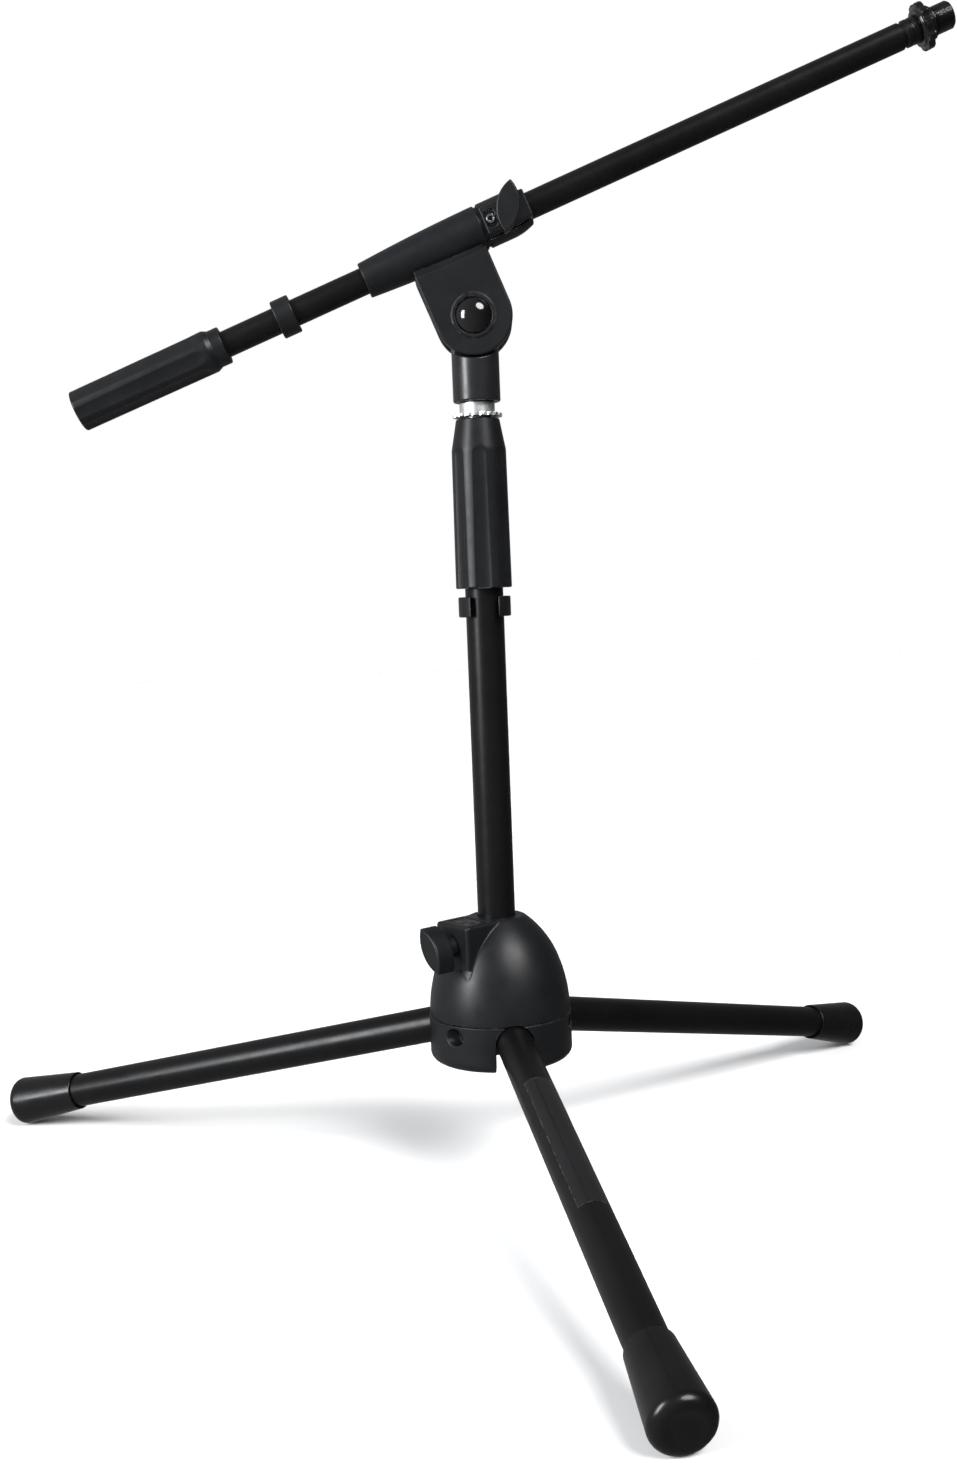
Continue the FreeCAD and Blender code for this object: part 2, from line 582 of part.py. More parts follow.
def build_lock_ring():
    ring = turned("lock_ring_body", [
        ("thread_radius + slide_gap", "ring_low"), ("ring_radius - 0.4", "ring_low"),
        ("ring_radius", "ring_low + 0.4"), ("ring_radius", "ring_shoulder - 0.4"),
        ("ring_radius - 0.4", "ring_shoulder"), ("ring_neck", "ring_shoulder"),
        ("ring_neck", "ring_high - 0.5"), ("ring_neck - 0.5", "ring_high"),
        ("thread_radius + slide_gap", "ring_high")])

    def notch(name, spin):
        away = spin.multVec(Vector(number("ring_radius") + 0.5, 0, 0))
        return rod(name, 1.5, "ring_low - 1", 4.3, Placement(away, spin))

    notches = ring_of("lock_ring_notch", notch, int(number("ring_teeth")))
    keep(less("lock_ring_finished", ring, *notches), "column_lock_ring")


def build_swivel():
    low = turned("socket_body", [
        ("0", "socket_low"), ("socket_radius - 1.2", "socket_low"),
        ("socket_radius", "socket_low + 1.2", "1.2"), ("socket_radius", "pivot_height"),
        ("0", "pivot_height")])
    tongue = cross_rod("tongue_round", "socket_radius", "-tongue_half", "2 * tongue_half", 0,
                       "pivot_height")
    bore = rod("socket_bore", "thread_radius + slide_gap", "socket_low - 1", "17.2")
    shelves = [cross_rod("shelf_front", "shelf_radius", "-30", "30 - tongue_half", 0, "pivot_height"),
               cross_rod("shelf_back", "shelf_radius", "tongue_half", "30", 0, "pivot_height")]
    bolt_bore = cross_rod("tongue_bore", "bolt_radius + slide_gap", -20, 40, 0, "pivot_height")
    solid = joined("socket_solid", low, tongue)
    keep(less("socket_finished", solid, bore, bolt_bore, *shelves), "swivel_socket")


# ---- boom head ----------------------------------------------------------------------

def build_clamp_body():
    barrel = turned("barrel_body", [
        ("barrel_bore", "barrel_start"), ("barrel_start_radius - 0.8", "barrel_start"),
        ("barrel_start_radius", "barrel_start + 0.8", "0.8"),
        ("barrel_end_radius", "barrel_end - 4", "900"),
        ("barrel_end_radius", "barrel_end"), ("barrel_end_radius - 1.1", "barrel_end"),
        ("barrel_end_radius - 1.1", "collar_start"), ("barrel_bore", "collar_start")])
    station = str(pivot_station())
    upright = brick("ear_upright", ("ear_ledge", "-ear_outside", station + " - ear_radius"),
                    ("boom_drop", "ear_outside", station + " + ear_radius"))
    web = brick("ear_web", ("5", "-8", station + " - ear_radius + 1"),
                ("ear_ledge + 1", "8", station + " + ear_radius - 1"))
    lobe = cross_rod("ear_lobe", "ear_radius", "-ear_outside", "2 * ear_outside", "boom_drop", station)
    plate = joined("ear_plate", upright, lobe)
    plate = rounded("ear_soft", plate, 1.3, is_ear_rim)
    bore = rod("barrel_clear", "barrel_bore", "barrel_start - 1", "collar_start - barrel_start + 2")
    fork = brick("fork_gap", ("ear_ledge + 3.4", "-ear_inside", station + " - ear_radius - 5"),
                 ("boom_drop + 40", "ear_inside", station + " + ear_radius + 5"))
    bolt_bore = cross_rod("ear_bore", "bolt_radius + 0.02", -30, 60, "boom_drop", station)
    seat = cross_rod("cap_seat", 10.1, "-ear_outside - 1", 1.9, "boom_drop", station)
    rim = turned("cap_rim", [("10.1", "ear_outside - 0.5"), ("12.6", "ear_outside - 0.5"),
                             ("12.6", "ear_outside + 0.3"), ("12.1", "ear_outside + 0.8", "0.5"),
                             ("10.6", "ear_outside + 0.8"), ("10.1", "ear_outside + 0.3", "0.5")])
    rim.Placement = Placement(Vector(number("boom_drop"), 0, pivot_station()), Rotation(X_AXIS, 90))
    head = less("clamp_head", joined("clamp_mass", barrel, web, plate), bore, fork, bolt_bore, seat)
    keep(joined("clamp_finished", head, rim), "boom_clamp_body", boom_frame())


def is_ear_rim(edge):
    """The outer rim of either ear, but not the edges that sink into the barrel."""
    return abs(abs(edge.CenterOfMass.y) - number("ear_outside")) < 0.1


def build_collar():
    ring = turned("collar_body", [
        ("barrel_bore", "collar_start + 0.05"), ("barrel_end_radius - 0.6", "collar_start + 0.05"),
        ("barrel_end_radius", "collar_start + 0.7", "0.6"), ("barrel_end_radius", "collar_start + 14"),
        ("collar_end_radius", "collar_end - 0.8", "60"), ("collar_end_radius - 0.8", "collar_end", "0.8"),
        ("barrel_bore", "collar_end")])
    facing = Placement(Vector(0, 0, 0), Rotation(Z_AXIS, -90))
    pad = brick("collar_pad", ("7", "-pad_half", "collar_start + 0.05"),
                ("pad_face", "pad_half", "collar_end"), facing)
    pad = rounded("collar_pad_soft", pad, 1.5, lambda e: facing.inverse().multVec(e.CenterOfMass).x > 8)
    split = brick("collar_split", ("6", "-0.5", "collar_start - 1"), ("20", "0.5", "collar_end + 1"),
                  Placement(Vector(0, 0, 0), Rotation(Z_AXIS, 318)))
    window = brick("collar_window", ("pad_face - 1.5", "-5", "window_station - 3.3"),
                   ("20", "5", "window_station + 3.3"), facing)
    bore = rod("collar_clear", "barrel_bore", "collar_start - 1", "40")
    across = facing * Placement(Vector(0, 0, number("lock_station")), Rotation(Y_AXIS, 90))
    stem_bore = rod("collar_stem_bore", "stem_hole + 0.06", 0, 30, across)
    shoe_bore = rod("collar_shoe_bore", "shoe_radius - 0.2", 0, 12.2, across)
    solid = joined("collar_solid", ring, pad)
    keep(less("collar_finished", solid, bore, split, window, stem_bore, shoe_bore), "boom_lock_collar",
         boom_frame())
    nut = sleeve("collar_nut_body", "1.3", "2.6", "pad_face - 1.5", "pad_face - 0.5")
    lower = facing * Placement(Vector(0, 0, number("window_station")), Rotation(Y_AXIS, 90))
    keep(nut, "collar_set_screw", boom_frame() * lower)
    # the wing stands upright at rest, so its long side leans across the boom
    lean = Placement(Vector(0, 0, number("pad_face")), Rotation(Z_AXIS, number("lock_lean")))
    frame = boom_frame() * across * lean
    thumb_screw("boom_lock", frame, "-0.9", 3.4, 11.0)
    shoe = plug("boom_shoe_body", "shoe_radius - 0.3", "barrel_bore + free_gap", "12.1")
    keep(shoe, "boom_lock_shoe", boom_frame() * across)


def build_liner():
    liner = turned("liner_body", [
        ("boom_radius + slide_gap", "barrel_start + 2"), ("barrel_bore - slide_gap", "barrel_start + 2"),
        ("barrel_bore - slide_gap", "collar_end - 2"), ("boom_radius + slide_gap", "collar_end - 2")])
    keep(liner, "boom_liner", boom_frame())


def build_pivot():
    line = Placement(Vector(0, 0, number("pivot_height")), Rotation(X_AXIS, 90))
    bolt = turned("pivot_bolt_body", [
        ("0", "ear_outside - 0.9"), ("8", "ear_outside - 0.9"), ("8", "ear_outside"),
        ("0", "ear_outside")])
    head = joined("pivot_bolt_all", bolt, rod("pivot_shank", "bolt_radius", "-30", "ear_outside + 29.5"))
    keep(head, "pivot_bolt", line)
    bend = "(cap_radius * cap_radius + cap_rise * cap_rise) / (2 * cap_rise)"
    cap = turned("pivot_cap_body", [
        ("0", "ear_outside"), ("cap_radius", "ear_outside"), ("cap_radius", "ear_outside + 0.6"),
        ("0", "ear_outside + 0.6 + cap_rise", bend)])
    keep(cap, "pivot_cap", line)
    washers = [turned("friction_washer_%d" % i, [
        ("bolt_radius + 0.1", low), ("12.5", low), ("12.5", high), ("bolt_radius + 0.1", high)])
        for i, (low, high) in enumerate((("tongue_half + free_gap", "ear_inside"),
                                         ("-ear_inside", "-tongue_half - free_gap")))]
    for washer in washers:
        washer.Placement = line
    keep(group("friction_washer_set", washers), "friction_washers")

    back = Placement(Vector(0, number("ear_outside"), number("pivot_height")), Rotation(X_AXIS, -90))
    spread = Placement(Vector(0, 0, 0), Rotation(Z_AXIS, 90))
    wing = leaf("pivot_wing", "pivot_wing_length", "pivot_wing_width", "pivot_wing_low", "pivot_wing_high")
    wing_top = number("pivot_wing_high")
    wing = rounded("pivot_wing_soft", wing, "wing_round", lambda e: abs(e.CenterOfMass.z - wing_top) < 0.1)
    wing.Placement = spread
    boss = turned("pivot_boss", [
        ("0", "1.6"), ("pivot_boss - 0.6", "1.6"), ("pivot_boss", "2.2"), ("pivot_boss", "6"),
        ("pivot_boss - 3", "13"), ("0", "13")])
    bore = rod("pivot_knob_bore", "bolt_radius + slide_gap", "0", "17.2")
    keep(less("pivot_knob_finished", joined("pivot_knob_solid", wing, boss), bore), "pivot_knob", back)
    keep(sleeve("pivot_washer_body", "bolt_radius + 0.05", "9", "0.05", "1.2"), "pivot_washer", back)


# ---- boom ---------------------------------------------------------------------------

def build_boom():
    """Tube, threaded stud, nut and washer. Threads are plain: at full radius where a clip screws on,
    at the pitch radius where the nut sits."""
    frame = boom_frame()
    tube = turned("boom_tube_body", [
        ("boom_radius - boom_wall", "boom_start"), ("boom_radius", "boom_start"),
        ("boom_radius", "boom_tip - 5"), ("boom_radius - 0.9", "boom_tip - 4.2"),
        ("boom_radius - 0.9", "boom_tip - 3"), ("boom_radius", "boom_tip - 2.2"),
        ("boom_radius", "boom_tip"), ("boom_radius - boom_wall", "boom_tip"),
        ("boom_radius - boom_wall", "boom_tip - 2"), ("boom_radius - boom_wall - 0.8", "boom_tip - 3"),
        ("boom_radius - boom_wall - 0.8", "boom_tip - 4.2"), ("boom_radius - boom_wall", "boom_tip - 5.2")])
    keep(tube, "boom_tube", frame)
    stud = turned("tip_stud_body", [
        ("0", "boom_tip - 16"), ("boom_radius - boom_wall", "boom_tip - 16"),
        ("boom_radius - boom_wall", "boom_tip - 5.2"), ("boom_radius - boom_wall - 0.8", "boom_tip - 4.2"),
        ("boom_radius - boom_wall - 0.8", "boom_tip - 3"), ("boom_radius - boom_wall", "boom_tip - 2"),
        ("boom_radius - boom_wall", "boom_tip"), ("thread_pitch_radius", "boom_tip"),
        ("thread_pitch_radius", "washer_end + free_gap"), ("thread_radius", "washer_end + free_gap"),
        ("thread_radius", "thread_end - 0.8"), ("thread_radius - 0.8", "thread_end"),
        ("4", "thread_end"), ("4", "boom_tip - 10"), ("0", "boom_tip - 10")])
    keep(stud, "tip_thread_stud", frame)

    nut = turned("tip_nut_body", [
        ("thread_pitch_radius + slide_gap", "nut_start"), ("nut_radius - 0.8", "nut_start"),
        ("nut_radius", "nut_start + 0.8", "0.8"), ("nut_radius", "nut_end - 0.8"),
        ("nut_radius - 0.8", "nut_end", "0.8"), ("thread_pitch_radius + slide_gap", "nut_end")])

    def hollow(name, spin):
        away = spin.multVec(Vector(number("nut_radius") + 2.2, 0, 0))
        return rod(name, 4.2, "nut_start - 1", 8.2, Placement(away, spin))

    keep(less("tip_nut_finished", nut, *ring_of("tip_nut_hollow", hollow, 8)), "tip_lock_nut", frame)
    washer = sleeve("tip_washer_body", "thread_pitch_radius + slide_gap", "washer_radius", "nut_end",
                    "washer_end")
    keep(washer, "tip_washer", frame)


def build_boom_clip():
    ring = turned("boom_clip_ring", [
        ("boom_radius + slide_gap", "boom_clip_start"), ("boom_clip_radius - 0.8", "boom_clip_start"),
        ("boom_clip_radius", "boom_clip_start + 0.8", "0.8"), ("boom_clip_radius", "boom_clip_end - 0.8"),
        ("boom_clip_radius - 0.8", "boom_clip_end", "0.8"), ("boom_radius + slide_gap", "boom_clip_end")])
    mouth = brick("boom_clip_mouth", ("0", "-4.6", "boom_clip_start - 1"), ("16", "4.6", "boom_clip_end + 1"),
                  Placement(Vector(0, 0, 0), Rotation(Z_AXIS, 60)))
    keep(less("boom_clip_finished", ring, mouth), "boom_cable_clip", boom_frame())


def build_counterweight():
    frame = boom_frame()
    cover = turned("weight_cover_body", [
        ("10.6", "weight_start + 4"), ("10.6", "weight_end - 3"), ("boom_radius", "weight_end - 3"),
        ("boom_radius", "weight_band_end"), ("weight_band_radius - 0.7", "weight_band_end"),
        ("weight_band_radius", "weight_band_end - 0.7", "0.7"),
        ("weight_band_radius", "weight_band_start"), ("weight_neck", "weight_band_start - 0.4"),
        ("weight_radius", "weight_end"), ("weight_start_radius", "weight_start + 1.2"),
        ("weight_start_radius - 1.2", "weight_start", "1.2"), ("9", "weight_start"),
        ("9", "weight_start + 4")])

    def scoop(name, spin):
        away = spin.multVec(Vector(number("weight_radius") + 10.8, 0, 0))
        return rod(name, 11.3, "weight_start - 5", "weight_end - weight_start + 6.4",
                   Placement(away, spin))

    scoops = ring_of("weight_scoop", scoop, int(number("weight_scoops")), 285.5)
    cover = less("weight_cover_finished", cover, *scoops)
    keep(cover, "counterweight_cover", frame)
    core = sleeve("weight_core_body", "boom_radius", "10.5", "weight_start + 6", "weight_end - 4")
    keep(core, "counterweight_core", frame)
    cap = turned("weight_cap_body", [
        ("0", "weight_start + 0.5"), ("8.9", "weight_start + 0.5"), ("8.9", "weight_start + 4.1"),
        ("10.5", "weight_start + 4.1"), ("10.5", "weight_start + 5.5"), ("0", "weight_start + 5.5")])
    keep(cap, "counterweight_plug", frame)


# ---- assembly -----------------------------------------------------------------------

def build_all():
    build_hub_dome()
    build_hub_ring()
    build_leg_bracket()
    build_hub_fasteners()
    build_top_panel()
    build_hub_clamp()
    for index in range(len(LEG_NAMES)):
        build_leg(index)
    build_leg_label()
    build_pole()
    build_pole_clip()
    build_clutch()
    build_mast()
    build_lock_ring()
    build_swivel()
    build_clamp_body()
    build_collar()
    build_liner()
    build_pivot()
    build_boom()
    build_boom_clip()
    build_counterweight()


def check_model():
    """Stop on any failed object or on a sub-part that isn't a sound solid."""
    faults = [o.Name for o in doc.Objects if "Invalid" in o.State or "Error" in o.State]
    for name, thing in nodes.items():
        shape = thing.Shape
        if shape.isNull() or not shape.isValid() or not shape.Solids:
            faults.append(name)
    if faults:
        raise RuntimeError("failed: " + ", ".join(faults))


build_all()
doc.recompute()
check_model()
os.makedirs("parts", exist_ok=True)
for node_name, node in nodes.items():
    node.Shape.exportStep("parts/%s.step" % node_name)
    print("%-22s %d solid(s) %10.1f mm3" % (node_name, len(node.Shape.Solids), node.Shape.Volume))
print("floor contact at leg axis height %.3f, pivot station %.3f" % (leg_axis_height(), pivot_station()))
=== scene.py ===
"""Looks of a desktop microphone stand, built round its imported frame. Metres, +Z up.

The mesh pieces are worked out in millimetres, each in a frame of its own that is placed from the
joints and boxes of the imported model.
"""
import json
import math

import bmesh
import bpy
import numpy as np
from mathutils import Matrix, Vector


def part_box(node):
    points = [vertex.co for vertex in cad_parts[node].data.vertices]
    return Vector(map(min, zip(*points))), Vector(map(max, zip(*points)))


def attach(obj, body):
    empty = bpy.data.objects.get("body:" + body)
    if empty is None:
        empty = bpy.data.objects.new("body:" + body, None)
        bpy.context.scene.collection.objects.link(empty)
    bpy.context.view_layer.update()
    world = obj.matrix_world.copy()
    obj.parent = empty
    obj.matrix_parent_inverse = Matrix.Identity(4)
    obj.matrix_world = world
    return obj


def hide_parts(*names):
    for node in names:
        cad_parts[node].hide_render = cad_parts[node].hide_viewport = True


MM = 0.001
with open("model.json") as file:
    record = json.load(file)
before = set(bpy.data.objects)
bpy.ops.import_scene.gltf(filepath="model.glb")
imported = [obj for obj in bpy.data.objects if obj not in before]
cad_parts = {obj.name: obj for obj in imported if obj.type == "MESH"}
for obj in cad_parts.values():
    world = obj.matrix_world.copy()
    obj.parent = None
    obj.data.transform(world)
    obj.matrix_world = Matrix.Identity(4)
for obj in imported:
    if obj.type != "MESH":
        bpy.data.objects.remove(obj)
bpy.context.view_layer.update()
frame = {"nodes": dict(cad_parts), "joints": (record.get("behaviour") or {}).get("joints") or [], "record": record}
joints = {joint["name"]: joint for joint in frame["joints"]}
record = frame["record"]
node_body = {node: body for body, nodes in record["behaviour"]["bodies"].items() for node in nodes}
node_slot = {part["node"]: part["material_slot"] for part in record["subparts"]}


# ---- places: joints and boxes come from the frame, the legs' slope from the design --------

LEG_SLOPE = math.radians(13.05)
LEG_NAMES = ("front", "right", "left")
UP = Vector((0, 0, 1))


def joint_place(name):
    return Vector(joints[name]["pos_m"]), Vector(joints[name]["axis"]).normalized()


def low(node):
    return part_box(node)[0].z / MM


def high(node):
    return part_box(node)[1].z / MM


def basis(origin, x_axis, z_axis):
    """A frame at origin whose Z is z_axis and whose X is as near to x_axis as can be."""
    z = z_axis.normalized()
    y = z.cross(x_axis).normalized()
    x = y.cross(z)
    return Matrix.Translation(origin) @ Matrix((x, y, z)).transposed().to_4x4()


def boom_place():
    """Z runs along the boom to its tip, X points down, Y is the tilt axis; origin over the pole."""
    origin, along = joint_place("boom_roll")
    return basis(origin, -UP, along)


def leg_place(side):
    """Z runs out along the leg, X points down, Y is the hinge line; origin on the pole's axis."""
    hinge = joint_place("leg_fold_" + side)[0]
    outward = Vector((hinge.x, hinge.y, 0)).normalized()
    along = outward * math.cos(LEG_SLOPE) - UP * math.sin(LEG_SLOPE)
    offset = Vector((hinge.x, hinge.y, 0)).length
    return basis(hinge - along * (offset / math.cos(LEG_SLOPE)), -UP, along)


def hub_place():
    """X runs out through the hub's clamp knob, Z is the pole's axis, origin on the floor."""
    return basis(Vector((0, 0, 0)), joint_place("hub_clamp_turn")[1], UP)


def wing_place(joint, out, long_axis):
    """A wing knob's frame, out millimetres from its joint's point: Z on the joint, X along the wing."""
    point, axis = joint_place(joint)
    return basis(point + axis * out * MM, long_axis, axis)


POLE = Matrix.Identity(4)
BOOM, HUB = boom_place(), hub_place()
LEGS = {side: leg_place(side) for side in LEG_NAMES}


# ---- distance fields, in millimetres: negative inside the solid ---------------------------

LEAF_TIP_ROUND = 0.8


def slab(value, start, stop):
    return np.maximum(start - value, value - stop)


def either(first, second, fillet=0.0):
    """Union, with a round fillet where the two meet."""
    if not fillet:
        return np.minimum(first, second)
    near = np.hypot(np.maximum(fillet - first, 0), np.maximum(fillet - second, 0))
    return np.maximum(fillet, np.minimum(first, second)) - near


def both(first, second, round_edge=0.0):
    """Intersection, with its edges rounded."""
    return -either(-first, -second, round_edge)


def cut(first, second, round_edge=0.0):
    return both(first, -second, round_edge)


def block(x, y, z, lows, highs, round_edge=0.0):
    sides = [slab(v, a, b) for v, a, b in zip((x, y, z), lows, highs)]
    return both(both(sides[0], sides[1], round_edge), sides[2], round_edge)


def arc_radius(half_chord, rise):
    return (half_chord ** 2 + rise ** 2) / (2 * rise)


def leaf(x, y, long_half, wide_half):
    """A pointed oval: two equal arcs that meet at the tips."""
    bend = arc_radius(long_half, wide_half)
    shift = bend - wide_half
    return both(np.hypot(x, y - shift) - bend, np.hypot(x, y + shift) - bend, LEAF_TIP_ROUND)


def seen_from(place, other, x, y, z):
    """Coordinates of frame place, as coordinates of frame other; both in millimetres."""
    change = other.inverted() @ place
    turn, shift = change.to_3x3(), change.translation / MM
    return [turn[i][0] * x + turn[i][1] * y + turn[i][2] * z + shift[i] for i in range(3)]


# ---- meshes -------------------------------------------------------------------------------

GRID_MARGIN = 1.5
SETTLING_STEPS, LEAST_SLOPE = 3, 0.2
ARC_STEP, NEARLY_STRAIGHT = math.radians(15), math.radians(89)
MERGE_DISTANCE = 1e-7


def field_slope(field, points, step=0.02):
    here = field(*points.T)
    ahead = [field(*(points + step * np.eye(3)[axis]).T) for axis in range(3)]
    return here, (np.array(ahead) - here).T / step


def edge_crossings(values, cells):
    """For every cell, the middle of the points where the field changes sign along its edges."""
    total, hits = np.zeros((len(cells), 3)), np.zeros(len(cells))
    for axis in range(3):
        along = np.eye(3, dtype=int)[axis]
        sides = [np.eye(3, dtype=int)[a] for a in range(3) if a != axis]
        for start in (0 * along, sides[0], sides[1], sides[0] + sides[1]):
            first = values[tuple((cells + start).T)]
            second = values[tuple((cells + start + along).T)]
            crossed = (first < 0) != (second < 0)
            share = np.where(crossed, first / np.where(crossed, first - second, 1), 0)
            total += np.where(crossed[:, None], cells + start + share[:, None] * along, 0)
            hits += crossed
    return total / hits[:, None]


def net_faces(inside, number):
    """One quad for every grid edge that passes through the surface, facing outwards."""
    faces = []
    for axis in range(3):
        change = np.diff(inside.astype(np.int8), axis=axis)
        spots = np.argwhere(change)
        leaving = change[tuple(spots.T)] < 0
        side, other = np.eye(3, dtype=int)[(axis + 1) % 3], np.eye(3, dtype=int)[(axis + 2) % 3]
        corners = [spots - side - other, spots - other, spots, spots - side]
        quads = np.array([number[tuple(c.T)] for c in corners]).T
        faces += [quads[leaving], quads[~leaving][:, ::-1]]
    return np.concatenate(faces)


def moulded_mesh(field, lows, highs, cell):
    """Points, quads and normals of the surface where field is zero, on a grid of that cell."""
    start = np.array(lows) - GRID_MARGIN * cell
    axes = [np.arange(s, h + 2 * cell, cell) for s, h in zip(start, highs)]
    values = field(*np.meshgrid(*axes, indexing="ij"))
    inside = values < 0
    size = [n - 1 for n in inside.shape]
    filled = sum(inside[i:i + size[0], j:j + size[1], k:k + size[2]].astype(np.int8)
                 for i in (0, 1) for j in (0, 1) for k in (0, 1))
    mixed = (filled > 0) & (filled < 8)
    cells = np.argwhere(mixed)
    number = np.zeros(mixed.shape, int)
    number[mixed] = np.arange(len(cells))
    points = start + cell * edge_crossings(values, cells)
    for _ in range(SETTLING_STEPS):
        here, slope = field_slope(field, points)
        move = slope * (here / np.maximum((slope ** 2).sum(1), LEAST_SLOPE))[:, None]
        points = points - np.clip(move, -cell / 2, cell / 2)
    normals = field_slope(field, points)[1]
    return points, net_faces(inside, number), normals / np.linalg.norm(normals, axis=1)[:, None]


def rounded_outline(corners, step):
    """A closed outline of (radius, height, fillet) corners, as points no further apart than step."""
    points = []
    spots = [Vector(c[:2]) for c in corners]
    for i, corner in enumerate(corners):
        here, before, after = spots[i], spots[i - 1], spots[(i + 1) % len(spots)]
        back, ahead = (before - here).normalized(), (after - here).normalized()
        fillet = corner[2] if len(corner) > 2 else 0
        half = back.angle(ahead) / 2
        if fillet and half < NEARLY_STRAIGHT:
            middle = here + (back + ahead).normalized() * (fillet / math.sin(half))
            start, stop = (here + side * (fillet / math.tan(half)) - middle for side in (back, ahead))
            count = max(3, math.ceil(start.angle(stop) / ARC_STEP))
            for k in range(count + 1):
                arm = start * (1 - k / count) + stop * (k / count)
                points.append(middle + arm.normalized() * fillet)
        else:
            points.append(here)
    dense = []
    for first, second in zip(points, points[1:] + points[:1]):
        count = max(1, math.ceil((second - first).length / step))
        dense += [first.lerp(second, k / count) for k in range(count)]
    return np.array([tuple(p) for p in dense])


def turned_mesh(corners, steps, step=4.0, shape=None):
    """Points and quads of a turned piece; shape(angle, radius, height) may change its radius."""
    outline = rounded_outline(corners, step)
    angle = np.linspace(0, 2 * math.pi, steps, endpoint=False)[:, None]
    radius = outline[:, 0] + 0 * angle
    height = outline[:, 1] + 0 * angle
    if shape:
        radius = shape(angle, radius, height)
    points = np.stack((radius * np.cos(angle), radius * np.sin(angle), height), axis=2)
    rows = len(outline)
    index = np.arange(steps * rows).reshape(steps, rows)
    after, beside = np.roll(index, -1, axis=1), np.roll(index, -1, axis=0)
    quads = np.stack((index, beside, np.roll(beside, -1, axis=1), after), axis=2)
    return points.reshape(-1, 3), quads.reshape(-1, 4)


def scallops(count, first, distance, tool, top=1e6):
    """Shape of a turned piece after count rods are cut from it, each with a round end at top."""
    pitch = 2 * math.pi / count

    def shape(angle, radius, height):
        off = (angle - math.radians(first) + pitch / 2) % pitch - pitch / 2
        size = tool ** 2 - np.maximum(height - top, 0) ** 2
        reach = size - (distance * np.sin(off)) ** 2
        near = distance * np.cos(off) - np.sqrt(np.maximum(reach, 0))
        return np.where(reach > 0, np.minimum(radius, near), radius)

    return shape


def area_normals(mesh):
    """Vertex normals weighted by face area, so that large flat faces stay flat beside their fillets."""
    normals = np.zeros((len(mesh.vertices), 3))
    for face in mesh.polygons:
        for corner in face.vertices:
            normals[corner] += np.array(face.normal) * face.area
    return normals / np.maximum(np.linalg.norm(normals, axis=1), 1e-12)[:, None]


def piece(name, node, place, points, faces, normals=None, also=()):
    """A mesh piece in place of a CAD node: it rides on that node's body and takes its slot."""
    turn, shift = np.array(place.to_3x3()), np.array(place.translation)
    mesh = bpy.data.meshes.new(name)
    mesh.from_pydata((points * MM @ turn.T + shift).tolist(), [], faces.tolist())
    if normals is None:
        draft = bmesh.new()
        draft.from_mesh(mesh)
        bmesh.ops.remove_doubles(draft, verts=draft.verts, dist=MERGE_DISTANCE)
        bmesh.ops.recalc_face_normals(draft, faces=draft.faces)
        draft.to_mesh(mesh)
        draft.free()
        mesh.shade_smooth()
        mesh.normals_split_custom_set_from_vertices(area_normals(mesh).tolist())
    else:
        mesh.shade_smooth()
        mesh.normals_split_custom_set_from_vertices((normals @ turn.T).tolist())
    made = bpy.data.objects.new(name, mesh)
    bpy.context.scene.collection.objects.link(made)
    dress(made, materials[node_slot[node]])
    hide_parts(node, *also)
    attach(made, node_body[node])
    return made


def moulding(name, node, place, field, lows, highs, cell, also=()):
    return piece(name, node, place, *moulded_mesh(field, lows, highs, cell), also=also)


def turning(name, node, place, corners, steps, step=4.0, shape=None):
    return piece(name, node, place, *turned_mesh(corners, steps, step, shape))


# ---- tripod hub ---------------------------------------------------------------------------

POLE_BORE = 11.05
HUB_SEAM, HUB_TOP, HUB_LOW = low("hub_dome"), high("hub_dome"), low("hub_ring")
HUB_REACH = 42.5
DOME_RADIUS, DOME_KNEE, DOME_WALL = 41.4, 125.0, 3.6
DOME_ROOF, POLE_BOSS = 7.0, 15.0
LOW_BEND, HIGH_BEND = 87.6, 58.0
HIGH_BEND_CENTRE = (-18.6, 104.1)
BLOCK_START, BLOCK_REACH, BLOCK_HALF, BLOCK_LOW, BLOCK_ROUND = -5.0, 35.0, 14.2, 100.0, 2.2
FREE_OF_DOME = 20.0
BLOCK_CORE_HALF, BLOCK_CORE_LOW = 12.0, 105.0
PANEL_START, PANEL_STOP, PANEL_HALF, PANEL_DEPTH = 16.8, 30.4, 9.6, 1.6
CLAMP_HOLE = 3.2
KNOB_HEIGHT = joint_place("hub_clamp_turn")[0].z / MM
RING_RADIUS, RING_INSIDE, RING_MOUTH, RING_ROUND = 41.8, 35.75, 32.8, 5.0
LIP_RADIUS, LIP_TOP, RING_SHELF, SEAM_GAP = 37.2, 98.9, 69.95, 0.1
ACCESS_RADIUS, ACCESS_START = 4.9, -20.0
SLOT_HALF, SLOT_START = 11.0, 14.0
BOLT_SHANK, BOLT_STOP, BOLT_HEAD = 3.0, 20.5, 4.3
HEAD_START, HEAD_STOP, HEAD_CROWN = -27.4, -22.6, 0.03
DRIVER_SLOT_HALF, DRIVER_SLOT_FLOOR, DRIVER_SLOT_TURN = 0.65, -26.0, math.radians(42)


def dome_radius(z):
    """Outer radius of the dome: a slow bend up to its knee, a quicker one above."""
    lower = DOME_RADIUS - LOW_BEND + np.sqrt(np.maximum(LOW_BEND ** 2 - (z - HUB_SEAM) ** 2, 1))
    rise = np.maximum(HIGH_BEND ** 2 - (z - HIGH_BEND_CENTRE[1]) ** 2, 1)
    return np.where(z < DOME_KNEE, lower, HIGH_BEND_CENTRE[0] + np.sqrt(rise))


